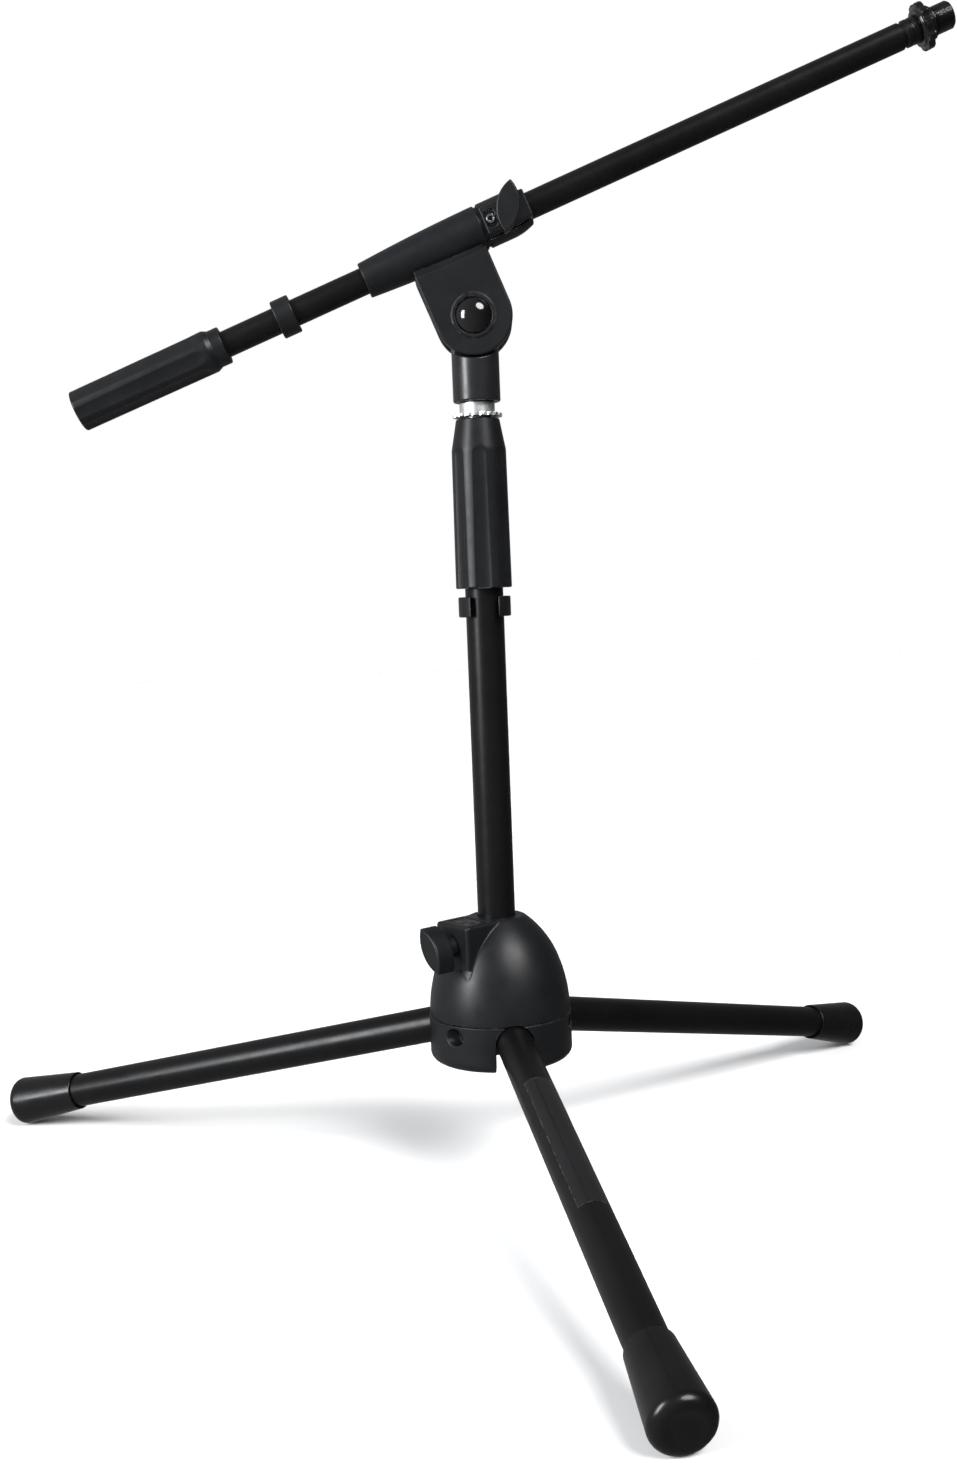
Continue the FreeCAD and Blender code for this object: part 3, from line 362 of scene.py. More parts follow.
def leg_room(x, y, z, half):
    """Room for the three legs in the hub's frame: arches that follow them, open below."""
    rooms = []
    for side in LEG_NAMES:
        down, across, along = seen_from(HUB, LEGS[side], x, y, z)
        arch = np.where(down < 0, np.hypot(down, across), np.abs(across)) - half
        rooms.append(both(arch, SLOT_START - along))
    return np.minimum(np.minimum(rooms[0], rooms[1]), rooms[2])


def clamp_block(x, y, z):
    """The clamp's block: held inside the dome up to its knee, free to stand out above."""
    shape = block(x, y, z, (BLOCK_START, -BLOCK_HALF, BLOCK_LOW), (BLOCK_REACH, BLOCK_HALF, HUB_TOP),
                  BLOCK_ROUND)
    in_dome = np.hypot(x, y) - dome_radius(np.minimum(z, DOME_KNEE))
    return both(shape, in_dome - np.where(z > DOME_KNEE, FREE_OF_DOME, 0))


def dome_room(x, y, z):
    """The hollow under the dome, round the pole's boss and clear of the clamp's block."""
    radius = np.hypot(x, y)
    room = both(radius - dome_radius(z) + DOME_WALL, z - HUB_TOP + DOME_ROOF)
    room = cut(room, radius - POLE_BOSS)
    core = block(x, y, z, (0, -BLOCK_CORE_HALF, BLOCK_CORE_LOW), (BLOCK_REACH, BLOCK_CORE_HALF, HUB_TOP))
    return cut(room, core)


def dome_field(x, y, z):
    radius = np.hypot(x, y)
    shell = both(radius - dome_radius(z), z - HUB_TOP, 1.0)
    solid = both(either(shell, clamp_block(x, y, z), 0.7), HUB_SEAM - z, 0.3)
    solid = cut(solid, dome_room(x, y, z))
    solid = cut(solid, radius - POLE_BORE, 0.7)
    recess = block(x, y, z, (PANEL_START, -PANEL_HALF, HUB_TOP - PANEL_DEPTH),
                   (PANEL_STOP, PANEL_HALF, HUB_TOP + 5))
    solid = cut(solid, recess, 0.35)
    solid = cut(solid, both(np.hypot(y, z - KNOB_HEIGHT) - CLAMP_HOLE, -x))
    return cut(solid, leg_room(x, y, z, SLOT_HALF), 0.6)


def ring_field(x, y, z):
    radius = np.hypot(x, y)
    wall = both(radius - RING_RADIUS, z - HUB_SEAM + SEAM_GAP, 0.35)
    solid = either(wall, both(radius - LIP_RADIUS, z - LIP_TOP))
    solid = both(solid, HUB_LOW - z, RING_ROUND)
    solid = cut(solid, both(radius - RING_INSIDE, RING_SHELF - z))
    solid = cut(solid, radius - RING_MOUTH, 0.8)
    solid = cut(solid, leg_room(x, y, z, SLOT_HALF), 0.6)
    for side in LEG_NAMES:
        hole_x, hole_y, hole_z = seen_from(HUB, hinge_place(side), x, y, z)
        hole = both(np.hypot(hole_x, hole_y) - ACCESS_RADIUS, hole_z - ACCESS_START)
        solid = cut(solid, hole, 0.7)
    return solid


def hinge_place(side):
    """Z runs along the leg's hinge, X points out over the leg."""
    point, axis = joint_place("leg_fold_" + side)
    return basis(point, Vector((point.x, point.y, 0)), axis)


def hinge_bolt_field(x, y, z):
    """A hinge bolt with a slotted, slightly domed head that faces the access hole."""
    across = np.hypot(x, y)
    shank = both(across - BOLT_SHANK, slab(z, HEAD_STOP - 0.4, BOLT_STOP), 0.5)
    head = both(across - BOLT_HEAD, slab(z, HEAD_START + across ** 2 * HEAD_CROWN, HEAD_STOP), 0.5)
    off_slot = x * math.cos(DRIVER_SLOT_TURN) + y * math.sin(DRIVER_SLOT_TURN)
    slot = both(np.abs(off_slot) - DRIVER_SLOT_HALF, z - DRIVER_SLOT_FLOOR)
    return cut(either(head, shank), slot, 0.15)


def build_bolts():
    """The three hinge bolts are one node, so their meshes are joined."""
    parts = []
    for side in LEG_NAMES:
        points, faces, normals = moulded_mesh(hinge_bolt_field, (-5, -5, HEAD_START - 0.6),
                                              (5, 5, BOLT_STOP + 0.5), cell=0.4)
        change = hinge_place(side)
        turn, shift = np.array(change.to_3x3()), np.array(change.translation) / MM
        parts.append((points @ turn.T + shift, faces, normals @ turn.T))
    size = len(parts[0][0])
    piece("leg_bolts_slotted", "leg_pivot_bolts", POLE, np.concatenate([p[0] for p in parts]),
          np.concatenate([p[1] + size * i for i, p in enumerate(parts)]),
          np.concatenate([p[2] for p in parts]))


def build_hub():
    moulding("hub_dome_moulding", "hub_dome", HUB, dome_field, (-HUB_REACH, -HUB_REACH, HUB_SEAM),
             (HUB_REACH, HUB_REACH, HUB_TOP), cell=0.8)
    moulding("hub_ring_moulding", "hub_ring", HUB, ring_field, (-HUB_REACH, -HUB_REACH, HUB_LOW),
             (HUB_REACH, HUB_REACH, LIP_TOP), cell=0.6)
    build_bolts()


# ---- wing knobs ---------------------------------------------------------------------------

WING_HOLE, WING_COVER, HUB_WING_LEAN = 3.05, 3.6, math.radians(31.5)
WING_LONG, WING_WIDE, WING_BOSS, NECK_SHARE = 14.6, 6.6, 6.2, 0.86
FOOT_START, FOOT_OVERLAP, NECK_START, NECK_OVERLAP = 0.4, 0.6, 1.0, 3.0
HUB_WING_BASE, HUB_WING_TOP = 5.0, 17.0
LOCK_WING_BASE, LOCK_WING_TOP, LOCK_WING_LEAN = 3.4, 11.0, math.radians(61)
TILT_WING_LONG, TILT_WING_WIDE, TILT_WING_BOSS = 19.5, 6.5, 9.8
TILT_WING_BASE, TILT_WING_TOP, TILT_WING_SINK = 8.0, 22.0, 20.0


def wing_field(long_half, wide_half, base, top, boss):
    """Leaf-shaped wing from base to top on a round boss with a small step."""
    def field(x, y, z):
        wing = both(leaf(x, y, long_half, wide_half), slab(z, base, top), 1.1)
        across = np.hypot(x, y)
        foot = both(across - boss, slab(z, FOOT_START, base + FOOT_OVERLAP), 0.5)
        neck = both(across - boss * NECK_SHARE, slab(z, NECK_START, base + NECK_OVERLAP), 0.5)
        hole = both(across - WING_HOLE, z - top + WING_COVER)
        return cut(either(either(wing, neck, 0.8), foot, 0.4), hole)
    return field


def wing(name, node, place, long_half, wide_half, base, top, boss, cell):
    side = max(wide_half, boss) + 1
    moulding(name, node, place, wing_field(long_half, wide_half, base, top, boss),
             (-long_half - 1, -side, 0), (long_half + 1, side, top + 0.5), cell)


def build_wings():
    beside = UP.cross(joint_place("hub_clamp_turn")[1])
    lean = UP * math.cos(HUB_WING_LEAN) - beside * math.sin(HUB_WING_LEAN)
    wing("hub_clamp_wing_knob", "hub_clamp_knob", wing_place("hub_clamp_turn", BLOCK_REACH, lean),
         WING_LONG, WING_WIDE, HUB_WING_BASE, HUB_WING_TOP, WING_BOSS, cell=0.4)
    boom_along, boom_down = BOOM.to_3x3().col[2], BOOM.to_3x3().col[0]
    lean = boom_down * math.sin(LOCK_WING_LEAN) - boom_along * math.cos(LOCK_WING_LEAN)
    wing("boom_lock_wing_knob", "boom_lock_knob", wing_place("boom_lock_turn", PAD_FACE, lean),
         WING_LONG, WING_WIDE, LOCK_WING_BASE, LOCK_WING_TOP, WING_BOSS, cell=0.4)
    lean = boom_along.cross(Vector((0, 1, 0)))
    wing("tilt_wing_nut", "pivot_knob",
         wing_place("pivot_knob_turn", EAR_OUTSIDE - TILT_WING_SINK, lean), TILT_WING_LONG,
         TILT_WING_WIDE, TILT_WING_BASE, TILT_WING_TOP, TILT_WING_BOSS, cell=0.5)


# ---- column -------------------------------------------------------------------------------

GRIP_LOW, GRIP_HIGH = low("clutch_grip"), high("clutch_grip")
GRIP_SHOULDER = GRIP_HIGH - 17.5
COLLET_LEVEL, SEAT_LEVEL = GRIP_HIGH - 13, GRIP_SHOULDER - 14
HOLLOW_LEVEL, MOUTH_LEVEL, FLUTE_LEVEL = GRIP_LOW + 36, GRIP_LOW + 33, GRIP_SHOULDER - 3
GRIP_FOOT, GRIP_WAIST, GRIP_TOP = 16.2, 15.6, 12.4
GRIP_MOUTH, GRIP_HOLLOW, GRIP_SEAT, GRIP_COLLET, GRIP_THROAT = 11.3, 12.9, 12.7, 9.9, 8.35
FLUTES, GRIP_FLUTE_TURN, GRIP_FLUTE, GRIP_FLUTE_DEPTH = 7, 271.0, 12.0, 1.1
POLE_RADIUS, POLE_CLIP_RADIUS, POLE_CLIP_MOUTH, CLIP_GAP = 11.0, 15.1, 8.0, 0.05
RING_BORE, RING_NECK, TOOTHED_RADIUS, TOOTHED_HEIGHT = 8.0, 10.1, 14.2, 2.0
TEETH, TOOTH_TURN, TOOTH_CUT, TOOTH_DISTANCE = 20, 4.0, 1.2, 14.5
PIVOT_HEIGHT = joint_place("boom_tilt")[0].z / MM
SOCKET_RADIUS, TONGUE_HALF, SHELF_RADIUS, PIVOT_HOLE = 13.55, 6.0, 23.4, 4.1
SOCKET_BORE, SOCKET_DEPTH = 8.0, 16.0


def build_grip():
    outline = [(GRIP_MOUTH, GRIP_LOW), (GRIP_FOOT, GRIP_LOW, 1.0), (GRIP_WAIST, GRIP_SHOULDER, 14.0),
               (GRIP_TOP, GRIP_HIGH, 0.9), (GRIP_THROAT, GRIP_HIGH), (GRIP_THROAT, COLLET_LEVEL),
               (GRIP_COLLET, COLLET_LEVEL), (GRIP_SEAT, SEAT_LEVEL), (GRIP_HOLLOW, HOLLOW_LEVEL),
               (GRIP_MOUTH, MOUTH_LEVEL)]
    flutes = scallops(FLUTES, GRIP_FLUTE_TURN, GRIP_WAIST + GRIP_FLUTE - GRIP_FLUTE_DEPTH, GRIP_FLUTE,
                      FLUTE_LEVEL)
    turning("clutch_grip_fluted", "clutch_grip", POLE, outline, steps=224, step=1.5, shape=flutes)


def clip_field(radius, tube, base, top, mouth_turn, mouth_half):
    """A C-shaped clip round a tube, its mouth turned by mouth_turn degrees about the tube."""
    def field(x, y, z):
        across = np.hypot(x, y)
        ring = both(across - radius, slab(z, base, top), 0.8)
        ring = cut(ring, across - tube - CLIP_GAP, 0.3)
        turn = math.radians(mouth_turn)
        out = x * math.cos(turn) + y * math.sin(turn)
        side = y * math.cos(turn) - x * math.sin(turn)
        return cut(ring, both(np.abs(side) - mouth_half, -out), 0.6)
    return field


def build_clip(name, node, place, radius, tube, base, top, mouth_turn, mouth_half):
    reach = radius + 0.5
    moulding(name, node, place, clip_field(radius, tube, base, top, mouth_turn, mouth_half),
             (-reach, -reach, base), (reach, reach, top), cell=0.35)


def socket_field(x, y, z):
    """Round socket whose top narrows to the flat tongue that the clamp tilts on."""
    base = low("swivel_socket")
    across = np.hypot(x, y)
    from_pivot = np.hypot(x, z - PIVOT_HEIGHT)
    body = both(across - SOCKET_RADIUS, slab(z, base, PIVOT_HEIGHT), 1.0)
    tongue = both(from_pivot - SOCKET_RADIUS, np.abs(y) - TONGUE_HALF, 0.5)
    solid = either(body, tongue)
    solid = cut(solid, both(from_pivot - SHELF_RADIUS, TONGUE_HALF - np.abs(y)), 0.5)
    solid = cut(solid, from_pivot - PIVOT_HOLE)
    return cut(solid, both(across - SOCKET_BORE, z - base - SOCKET_DEPTH), 0.6)


def build_column():
    build_grip()
    build_clip("pole_clip_moulding", "pole_cable_clip", POLE, POLE_CLIP_RADIUS, POLE_RADIUS,
               low("pole_cable_clip"), high("pole_cable_clip"), mouth_turn=270,
               mouth_half=POLE_CLIP_MOUTH)
    ring_low, ring_high = low("column_lock_ring"), high("column_lock_ring")
    shoulder = ring_low + TOOTHED_HEIGHT
    outline = [(RING_BORE, ring_low), (TOOTHED_RADIUS, ring_low, 0.4), (TOOTHED_RADIUS, shoulder, 0.4),
               (RING_NECK, shoulder, 0.3), (RING_NECK, ring_high, 0.5), (RING_BORE, ring_high)]
    turning("lock_ring_toothed", "column_lock_ring", POLE, outline, steps=320, step=2.0,
            shape=scallops(TEETH, TOOTH_TURN, TOOTH_DISTANCE, TOOTH_CUT))
    reach = SOCKET_RADIUS + 0.45
    moulding("swivel_socket_casting", "swivel_socket", POLE, socket_field,
             (-reach, -reach, low("swivel_socket")), (reach, reach, high("swivel_socket")), cell=0.45)


# ---- boom clamp ---------------------------------------------------------------------------

BARREL_START, BARREL_END, NECK_END = -65.9, 6.4, 8.0
BARREL_SMALL, BARREL_LARGE, BARREL_BORE, BARREL_SWELL, NECK_STEP = 10.1, 12.8, 8.7, 2.4, 1.1
BOOM_SLOPE = math.asin(joint_place("boom_roll")[1].z)
PIVOT_DROP, EAR_RADIUS, EAR_INSIDE, EAR_OUTSIDE = 44.6, 22.0, 7.3, 13.3
PIVOT_STATION = -PIVOT_DROP * math.tan(BOOM_SLOPE)
EAR_LEDGE, LEDGE_BEND, LEDGE_SHIFT = 13.2, 0.0026, 1.8
WEB_HALF, WEB_REACH, WEB_TOP, WEB_FLOOR, FORK_TOP = 8.0, 21.0, 5.0, 14.0, 15.8
RIM_RADIUS, RIM_HALF, RIM_HEIGHT, DISH_RADIUS, DISH_DEPTH = 11.45, 1.1, 0.8, 10.1, 0.9
CLAMP_PIVOT_HOLE = 4.02
PAD_FACE, PAD_HALF = 13.4, 7.9
COLLAR_START, COLLAR_END, TAPER_START, TAPER = NECK_END + 0.05, 35.0, 22.0, 0.0165
WINDOW_STATION, WINDOW_LONG_HALF, WINDOW_HALF, WINDOW_DEPTH = 12.5, 5.0, 3.3, 1.5
SPLIT_TURN, SPLIT_HALF, SPLIT_START = math.radians(318), 0.5, 6.0
LOCK_STATION, LOCK_HOLE = 22.9, 3.1
CAP_RADIUS, CAP_RISE, CAP_HEIGHT = 9.9, 4.4, 5.0
SCREW_RADIUS, SCREW_SOCKET, SCREW_HEIGHT = 2.6, 1.3, 1.0
CLAMP_ROOM = (-14, -14.5, BARREL_START), (67, 14, NECK_END)
COLLAR_ROOM = (-13.5, -14, NECK_END), (13.5, 13.5, COLLAR_END)


def ear_outline(down, along):
    """The tilt ears from the side: straight sides down to a round end about the pivot."""
    beside = along - PIVOT_STATION
    ledge = EAR_LEDGE - (beside - LEDGE_SHIFT) ** 2 * LEDGE_BEND
    straight = both(np.abs(beside) - EAR_RADIUS, slab(down, ledge, PIVOT_DROP), 0.8)
    return either(straight, np.hypot(down - PIVOT_DROP, beside) - EAR_RADIUS)


def barrel_field(across, z):
    """The barrel swells a little on its way from its small end to its large one."""
    share = np.clip((z - BARREL_START) / (BARREL_END - BARREL_START), 0, 1)
    size = BARREL_SMALL + (BARREL_LARGE - BARREL_SMALL) * share + BARREL_SWELL * share * (1 - share)
    barrel = both(across - size, slab(z, BARREL_START, BARREL_END), 0.7)
    return either(barrel, both(across - BARREL_LARGE + NECK_STEP, slab(z, BARREL_END - 1, NECK_END)))


def clamp_field(x, y, z):
    across = np.hypot(x, y)
    ears = both(ear_outline(x, z), np.abs(y) - EAR_OUTSIDE, 1.2)
    web = block(x, y, z, (WEB_TOP, -WEB_HALF, PIVOT_STATION - WEB_REACH),
                (WEB_FLOOR, WEB_HALF, PIVOT_STATION + WEB_REACH), 0.5)
    solid = either(either(barrel_field(across, z), web), ears, 0.5)
    solid = cut(solid, both(np.abs(y) - EAR_INSIDE, FORK_TOP - x), 0.4)
    from_pivot = np.hypot(x - PIVOT_DROP, z - PIVOT_STATION)
    rim = both(np.abs(from_pivot - RIM_RADIUS) - RIM_HALF,
               slab(y, -EAR_OUTSIDE - RIM_HEIGHT, -EAR_OUTSIDE + 1), 0.4)
    solid = either(solid, rim, 0.25)
    solid = cut(solid, both(from_pivot - DISH_RADIUS, y + EAR_OUTSIDE - DISH_DEPTH))
    solid = cut(solid, from_pivot - CLAMP_PIVOT_HOLE)
    return cut(solid, across - BARREL_BORE, 0.4)


def collar_field(x, y, z):
    """Split collar with a flat pad for the lock knob and a window for its set screw."""
    across = np.hypot(x, y)
    taper = np.maximum(z - TAPER_START, 0) ** 2 * TAPER
    ring = both(across - BARREL_LARGE + taper, slab(z, COLLAR_START, COLLAR_END), 0.7)
    pad = block(x, y, z, (-PAD_HALF, -PAD_FACE, COLLAR_START), (PAD_HALF, 0, COLLAR_END), 0.9)
    solid = either(ring, pad, 0.8)
    window = both(slab(z, WINDOW_STATION - WINDOW_HALF, WINDOW_STATION + WINDOW_HALF),
                  np.abs(x) - WINDOW_LONG_HALF, 2.2)
    solid = cut(solid, both(window, y + PAD_FACE - WINDOW_DEPTH), 0.35)
    out = x * math.cos(SPLIT_TURN) + y * math.sin(SPLIT_TURN)
    side = y * math.cos(SPLIT_TURN) - x * math.sin(SPLIT_TURN)
    solid = cut(solid, both(np.abs(side) - SPLIT_HALF, SPLIT_START - out), 0.2)
    solid = cut(solid, both(np.hypot(x, z - LOCK_STATION) - LOCK_HOLE, y))
    return cut(solid, across - BARREL_BORE, 0.4)


def build_cap(line):
    """A shallow dome over the pivot bolt's head."""
    bend = arc_radius(CAP_RADIUS, CAP_RISE)
    crown = [(bend * math.sin(a), EAR_OUTSIDE + CAP_HEIGHT - bend * (1 - math.cos(a)))
             for a in np.linspace(math.asin(CAP_RADIUS / bend), 0, 25)]
    turning("pivot_cap_glossy", "pivot_cap", line, [(0, EAR_OUTSIDE), (CAP_RADIUS, EAR_OUTSIDE), *crown],
            steps=160)


def build_clamp():
    moulding("boom_clamp_moulding", "boom_clamp_body", BOOM, clamp_field, *CLAMP_ROOM, cell=0.6)
    moulding("boom_lock_collar_moulding", "boom_lock_collar", BOOM, collar_field, *COLLAR_ROOM, cell=0.4)
    pivot, axis = joint_place("boom_tilt")
    build_cap(basis(pivot, UP, -axis))
    screw = basis(BOOM @ (Vector((0, -PAD_FACE + WINDOW_DEPTH, WINDOW_STATION)) * MM), UP, -axis)
    outline = [(SCREW_SOCKET, 0), (SCREW_RADIUS, 0), (SCREW_RADIUS, SCREW_HEIGHT, 0.35),
               (SCREW_SOCKET, SCREW_HEIGHT, 0.35)]
    turning("collar_screw_ring", "collar_set_screw", screw, outline, steps=64)


# ---- boom ---------------------------------------------------------------------------------

THREAD_RADIUS, THREAD_PITCH, THREAD_DEPTH, THREAD_FLANK, THREAD_WALL = 7.9375, 0.94, 0.5, 1.25, 0.9
BOOM_TIP, THREAD_END, THREAD_BEVEL = 268.0, 293.5, 1.2
COLLAR_RADIUS, GROOVE_RADIUS, PLUG_RADIUS, TIP_BORE = 7.6, 6.9, 6.6, 4.0
NUT_START, NUT_END, WASHER_END = 273.2, 279.4, 282.0
NUT_BORE, NUT_NECK, NUT_RADIUS, WASHER_BORE, WASHER_RADIUS = 7.7, 10.4, 13.4, 8.0, 9.3
NUT_NOTCHES, NUT_TURN, NUT_NOTCH, NOTCH_DISTANCE = 10, 9, 3.1, 14.9
WEIGHT_START, WEIGHT_END, BAND_START, BAND_END = -245.7, -162.6, -159.6, -153.2
CORE_RADIUS, MOUTH_RADIUS, BOOM_FIT = 10.6, 9.0, 7.6
WEIGHT_SMALL, WEIGHT_LARGE, WEIGHT_NECK, BAND_RADIUS = 11.8, 12.2, 11.0, 10.8
WEIGHT_FLUTE_TURN, WEIGHT_FLUTE, WEIGHT_FLUTE_FLOOR = 285.5, 22.0, 11.1
BOOM_CLIP_RADIUS, BOOM_CLIP_MOUTH, BOOM_CLIP_START, BOOM_CLIP_STOP = 11.0, 4.6, -120.3, -109.6


def thread(angle, radius, height):
    """A helical thread with a flat root, cut into the outside of the stud from the nut to its end."""
    turn = (height / THREAD_PITCH - angle / (2 * math.pi)) % 1
    groove = THREAD_DEPTH * (1 - np.abs(2 * turn - 1)) * THREAD_FLANK
    groove = np.minimum(groove, THREAD_DEPTH)
    outside = (radius > THREAD_RADIUS - THREAD_WALL) & (height > NUT_START)
    return np.where(outside, radius - groove, radius)


def build_weight():
    outline = [(CORE_RADIUS, WEIGHT_START + 4), (MOUTH_RADIUS, WEIGHT_START + 4),
               (MOUTH_RADIUS, WEIGHT_START, 0.5), (WEIGHT_SMALL, WEIGHT_START, 1.0),
               (WEIGHT_LARGE, WEIGHT_END, 1.6), (WEIGHT_NECK, BAND_START - 0.4, 0.4),
               (BAND_RADIUS, BAND_START, 0.3), (BAND_RADIUS, BAND_END, 0.8), (BOOM_FIT, BAND_END),
               (BOOM_FIT, WEIGHT_END - 3), (CORE_RADIUS, WEIGHT_END - 3)]
    flutes = scallops(FLUTES, WEIGHT_FLUTE_TURN, WEIGHT_FLUTE_FLOOR + WEIGHT_FLUTE, WEIGHT_FLUTE,
                      WEIGHT_END - 9)
    turning("counterweight_sleeve_fluted", "counterweight_cover", BOOM, outline, steps=224, step=1.5,
            shape=flutes)


def build_tip():
    outline = [(NUT_BORE, NUT_START), (NUT_NECK, NUT_START, 0.6), (NUT_NECK + 0.4, NUT_START + 1.3),
               (NUT_RADIUS, NUT_START + 1.6, 0.8), (NUT_RADIUS, NUT_END - 0.6, 0.8),
               (NUT_BORE, NUT_END - 0.2)]
    turning("tip_nut_scalloped", "tip_lock_nut", BOOM, outline, steps=240, step=1.0,
            shape=scallops(NUT_NOTCHES, NUT_TURN, NOTCH_DISTANCE, NUT_NOTCH))
    outline = [(WASHER_BORE, NUT_END), (WASHER_RADIUS, NUT_END, 0.3), (WASHER_RADIUS, WASHER_END, 0.5),
               (WASHER_BORE, WASHER_END)]
    turning("tip_washer_turned", "tip_washer", BOOM, outline, steps=96)
    outline = [(0, BOOM_TIP - 10), (TIP_BORE, BOOM_TIP - 10), (TIP_BORE, THREAD_END, 0.3),
               (THREAD_RADIUS - THREAD_BEVEL, THREAD_END, 0.2),
               (THREAD_RADIUS, THREAD_END - THREAD_BEVEL), (THREAD_RADIUS, NUT_START),
               (COLLAR_RADIUS, NUT_START), (COLLAR_RADIUS, BOOM_TIP + 1.4, 0.3),
               (GROOVE_RADIUS, BOOM_TIP + 1.1, 0.2), (GROOVE_RADIUS, BOOM_TIP), (PLUG_RADIUS, BOOM_TIP),
               (PLUG_RADIUS, BOOM_TIP - 16), (0, BOOM_TIP - 16)]
    turning("tip_stud_threaded", "tip_thread_stud", BOOM, outline, steps=96, step=THREAD_PITCH / 8,
            shape=thread)


def build_boom():
    build_weight()
    build_clip("boom_clip_moulding", "boom_cable_clip", BOOM, BOOM_CLIP_RADIUS, BOOM_FIT,
               BOOM_CLIP_START, BOOM_CLIP_STOP, mouth_turn=60, mouth_half=BOOM_CLIP_MOUTH)
    build_tip()


# ---- legs ---------------------------------------------------------------------------------

BOOT_START, BOOT_END, LEG_END = 301.0, 348.0, 343.5
BOOT_NECK, BOOT_RADIUS, LEG_RADIUS = 11.9, 15.4, 10.45
TREAD_RADIUS, DIMPLE_RADIUS, DIMPLE_DEPTH = 9.2, 5.6, 0.7


def build_boots():
    """Flared rubber boots, each with a shallow dimple in its end."""
    outline = [(LEG_RADIUS, BOOT_START), (BOOT_NECK, BOOT_START, 0.5), (BOOT_RADIUS, BOOT_END, 5.0),
               (TREAD_RADIUS, BOOT_END, 1.6), (DIMPLE_RADIUS, BOOT_END - DIMPLE_DEPTH, 1.6),
               (0, BOOT_END - DIMPLE_DEPTH), (0, LEG_END), (LEG_RADIUS, LEG_END)]
    for side in LEG_NAMES:
        turning("boot_%s_rubber" % side, "foot_boot_" + side, LEGS[side], outline, steps=128, step=3.0)


# ---- materials ----------------------------------------------------------------------------

def new_material(name):
    material = bpy.data.materials.new(name)
    material.use_nodes = True
    tree = material.node_tree
    tree.nodes.clear()
    shader = tree.nodes.new("ShaderNodeBsdfPrincipled")
    output = tree.nodes.new("ShaderNodeOutputMaterial")
    tree.links.new(shader.outputs[0], output.inputs["Surface"])
    return material, tree, shader


def noise_node(tree, scale, detail=3.0, rough=0.5, stretch=None):
    """Object-space noise; scale is features per metre."""
    place = tree.nodes.new("ShaderNodeTexCoord")
    texture = tree.nodes.new("ShaderNodeTexNoise")
    texture.inputs["Scale"].default_value = scale
    texture.inputs["Detail"].default_value = detail
    texture.inputs["Roughness"].default_value = rough
    source = place.outputs["Object"]
    if stretch:
        mapping = tree.nodes.new("ShaderNodeMapping")
        mapping.inputs["Scale"].default_value = stretch
        tree.links.new(source, mapping.inputs["Vector"])
        source = mapping.outputs["Vector"]
    tree.links.new(source, texture.inputs["Vector"])
    return texture.outputs["Fac"]


def spread(tree, source, low, high, start=0.3, stop=0.7):
    """Maps a noise to a range of values."""
    node = tree.nodes.new("ShaderNodeMapRange")
    for socket, value in zip(("From Min", "From Max", "To Min", "To Max"), (start, stop, low, high)):
        node.inputs[socket].default_value = value
    tree.links.new(source, node.inputs["Value"])
    return node.outputs["Result"]


def mixed_colour(tree, source, first, second):
    node = tree.nodes.new("ShaderNodeMix")
    node.data_type = "RGBA"
    tree.links.new(source, node.inputs[0])
    node.inputs[6].default_value = (*first, 1)
    node.inputs[7].default_value = (*second, 1)
    return node.outputs[2]


def edge_wear_and_highlight(tree, radius, low, high):
    """0 on flat faces, 1 along edges, broken up by noise: the mask for a lighter edge tone that is partly rubbed
    wear and partly a painted highlight.
    """
    bevel = tree.nodes.new("ShaderNodeBevel")
    bevel.samples = 4
    bevel.inputs["Radius"].default_value = radius
    geometry = tree.nodes.new("ShaderNodeNewGeometry")
    dot = tree.nodes.new("ShaderNodeVectorMath")
    dot.operation = "DOT_PRODUCT"
    tree.links.new(bevel.outputs[0], dot.inputs[0])
    tree.links.new(geometry.outputs["Normal"], dot.inputs[1])
    edge = spread(tree, dot.outputs["Value"], 1.0, 0.0, low, high)
    product = tree.nodes.new("ShaderNodeMath")
    product.operation = "MULTIPLY"
    tree.links.new(edge, product.inputs[0])
    tree.links.new(spread(tree, noise_node(tree, 260, 4), 0, 1, 0.42, 0.66), product.inputs[1])
    return product.outputs[0]


def bump(tree, shader, *layers):
    """Stacked bumps: each layer is (height source, distance in metres, strength)."""
    normal = None
    for source, distance, strength in layers:
        node = tree.nodes.new("ShaderNodeBump")
        node.inputs["Distance"].default_value = distance
        node.inputs["Strength"].default_value = strength
        tree.links.new(source, node.inputs["Height"])
        if normal:
            tree.links.new(normal, node.inputs["Normal"])
        normal = node.outputs["Normal"]
    tree.links.new(normal, shader.inputs["Normal"])


# The lighter edge tone: partly rubbed wear, partly a painted highlight along every edge.
WORN_AND_LIT_EDGE = (0.16, 0.16, 0.165)
PATCHES, GLOSS_PATCHES = 34, 90
EDGE_WIDTH, EDGE_LOW, EDGE_HIGH = 0.0005, 0.90, 0.995
COAT_ROUGHNESS = 0.12


